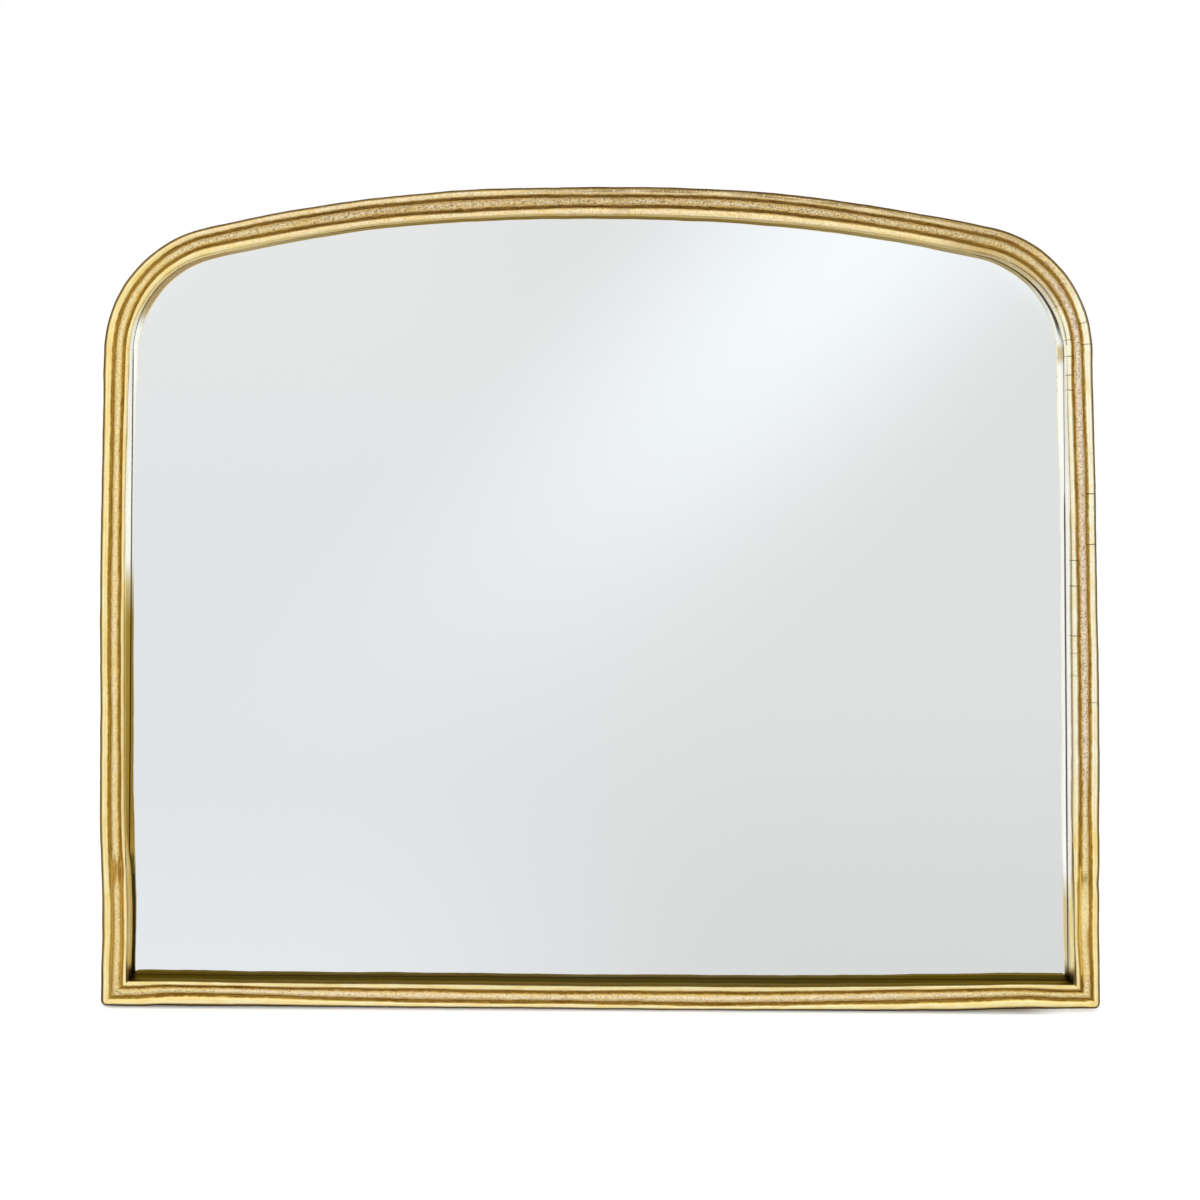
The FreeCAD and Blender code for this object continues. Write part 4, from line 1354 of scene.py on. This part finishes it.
def floor_finish():
    """White to the camera but for the object's shadow, deepened by a painted shadow along its foot;
    mirrors look through it to the backdrop.
    """
    material = bpy.data.materials.new("pale floor")
    graph = empty_graph(material)
    ray = graph.node("ShaderNodeLightPath").outputs
    diffuse = graph.node("ShaderNodeBsdfDiffuse", {"Color": rgba(FLOOR_GREY)})
    spot = graph.node("ShaderNodeTexCoord").outputs["Object"]
    across, ahead, _ = graph.parts(spot)
    # Painted shadow: in a strip just before and behind the object's foot the white lift is taken away,
    # which deepens the real shadow there.
    beside = graph.times(graph.ramp(across, -0.55, -0.53), graph.ramp(across, 0.46, 0.52, 1.0, 0.0))
    before = graph.ramp(graph.math("ABSOLUTE", ahead), 0.018, 0.028, 1.0, 0.0)
    lift = graph.scaled(graph.times(before, beside), -0.46, 0.48)
    lift = graph.times(lift, ray["Is Camera Ray"])
    glow = graph.node("ShaderNodeEmission", {"Strength": lift})
    white = graph.node("ShaderNodeAddShader", {0: diffuse.outputs[0], 1: glow.outputs[0]})
    clear = graph.node("ShaderNodeBsdfTransparent")
    mirrored = graph.most(ray["Is Glossy Ray"], ray["Is Transmission Ray"])
    both = graph.node(
        "ShaderNodeMixShader", {0: mirrored, 1: white.outputs[0], 2: clear.outputs[0]}
    )
    graph.node("ShaderNodeOutputMaterial", {"Surface": both.outputs[0]})
    return material


def backdrop_world():
    """White behind the object, and a pale studio with a soft beam of light for mirrors to show."""
    world = bpy.data.worlds.new("pale studio")
    graph = empty_graph(world)
    ray = graph.node("ShaderNodeLightPath").outputs
    facing = graph.node("ShaderNodeTexCoord").outputs["Generated"]
    across, ahead, up = graph.parts(facing)
    front = graph.times(ahead, -1.0)
    before = graph.most(front, 0.2)
    aside = graph.math("DIVIDE", across, before)
    above = graph.math("DIVIDE", up, before)
    left = graph.mix(graph.ramp(above, -0.05, 0.10), rgba(WALL_LEFT), rgba(WALL_LEFT_HIGH))
    left = graph.paint(left, WALL_LEFT_LOW, graph.ramp(above, -0.20, -0.33))
    right = graph.mix(graph.ramp(above, -0.12, -0.33), rgba(WALL_RIGHT), rgba(WALL_RIGHT_LOW))
    wall = graph.mix(graph.ramp(aside, -0.15, 0.15), left, right)
    beam_line = graph.scaled(above, 0.85, 0.082)
    beam_off = graph.math("ABSOLUTE", graph.math("SUBTRACT", aside, beam_line))
    beam = graph.times(graph.ramp(beam_off, 0.0, 0.19, 1.0, 0.0), graph.ramp(above, -0.22, 0.14))
    wall = graph.paint(wall, BEAM, beam)
    level = graph.ramp(front, 0.2, 0.9, 0.26, 1.0)
    around = 0.0
    for value, low, high, strength in (
        (aside, -0.27, -0.42, 0.60),
        (aside, 0.32, 0.47, 0.70),
        (above, 0.15, 0.30, 0.50),
        (above, -0.33, -0.48, 0.45),
        (graph.math("ADD", above, aside), 0.37, 0.45, 0.70),
        (graph.math("SUBTRACT", above, aside), 0.32, 0.43, 0.40),
    ):
        around = graph.most(graph.ramp(value, low, high, 0.0, strength), around)
    around = graph.times(around, graph.ramp(front, 0.40, 0.85))
    level = graph.math("ADD", level, around)
    behind = graph.ramp(front, -0.05, -0.5)
    level = graph.scaled(behind, 0.45, level)
    studio = graph.node("ShaderNodeVectorMath", {0: wall, "Scale": level}, operation="SCALE")
    mirrored = graph.most(ray["Is Glossy Ray"], ray["Is Transmission Ray"])
    seen = graph.mix(mirrored, rgba(STUDIO_LIGHT), studio.outputs["Vector"])
    seen = graph.paint(seen, WHITE, ray["Is Camera Ray"])
    background = graph.node("ShaderNodeBackground", {"Color": seen, "Strength": 1.0})
    graph.node("ShaderNodeOutputWorld", {"Surface": background.outputs[0]})
    return world


class MIRROR_OT_stage(bpy.types.Operator):
    """Lay the floor, set the lamps and stand the camera"""

    bl_idname = "mirror.stage"
    bl_label = "Stage"
    bl_options = {"REGISTER", "UNDO"}

    def execute(self, context):
        scene = context.scene
        stage = scene.mirror_stage
        bpy.ops.object.select_all(action="DESELECT")
        bpy.ops.mesh.primitive_plane_add(size=stage.floor_size)
        floor = context.object
        floor.name = "floor"
        floor.data.materials.append(floor_finish())
        centre = (0, 0, 0.45)
        add_lamp("left lamp", (-1.95, -2.2, 0.9), centre, 0.9, 1.2, stage.lamp_power)
        add_lamp("right lamp", (1.95, -2.2, 0.9), centre, 0.9, 1.2, stage.lamp_power)
        add_lamp("top lamp", (0, -1.9, 2.0), centre, 1.6, 0.7, stage.lamp_power)
        bpy.ops.object.camera_add(location=stage.camera)
        camera = context.object
        camera.name = "camera"
        turn = Matrix.Rotation(stage.yaw, 3, "Z") @ Matrix.Rotation(math.pi / 2 + stage.pitch, 3, "X")
        camera.rotation_euler = (turn @ Matrix.Rotation(stage.roll, 3, "Z")).to_euler()
        camera.data.lens = stage.lens
        camera.data.shift_x = stage.shift_right
        camera.data.shift_y = stage.shift_up
        scene.camera = camera
        scene.world = backdrop_world()
        scene.view_settings.view_transform = "Standard"
        return {"FINISHED"}


class MIRROR_PT_pieces(bpy.types.Panel):
    """Lists the pieces of the mirror"""

    bl_label = "Arched mirror"
    bl_idname = "MIRROR_PT_pieces"
    bl_space_type = "VIEW_3D"
    bl_region_type = "UI"
    bl_category = "Mirror"

    def draw(self, context):
        for operator in OPERATORS:
            self.layout.operator(operator.bl_idname)


GROUPS = {
    "mirror_sizes": MirrorSizes,
    "mirror_colours": MirrorColours,
    "mirror_hardware": HardwareSizes,
    "mirror_stage": StageSettings,
}
OPERATORS = (
    MIRROR_OT_arch_castings,
    MIRROR_OT_leg_castings,
    MIRROR_OT_foot_rail,
    MIRROR_OT_screws,
    MIRROR_OT_glazing_finish,
    MIRROR_OT_stage,
)
CLASSES = (*GROUPS.values(), *OPERATORS, MIRROR_PT_pieces)


def register():
    for item in CLASSES:
        bpy.utils.register_class(item)
    for name, group in GROUPS.items():
        setattr(bpy.types.Scene, name, PointerProperty(type=group))


def unregister():
    for name in GROUPS:
        delattr(bpy.types.Scene, name)
    for item in reversed(CLASSES):
        bpy.utils.unregister_class(item)


def main():
    register()
    bpy.ops.mirror.arch_castings()
    bpy.ops.mirror.leg_castings()
    bpy.ops.mirror.foot_rail()
    bpy.ops.mirror.screws()
    bpy.ops.mirror.glazing_finish()
    bpy.ops.mirror.stage()


if __name__ == "__main__":
    main()
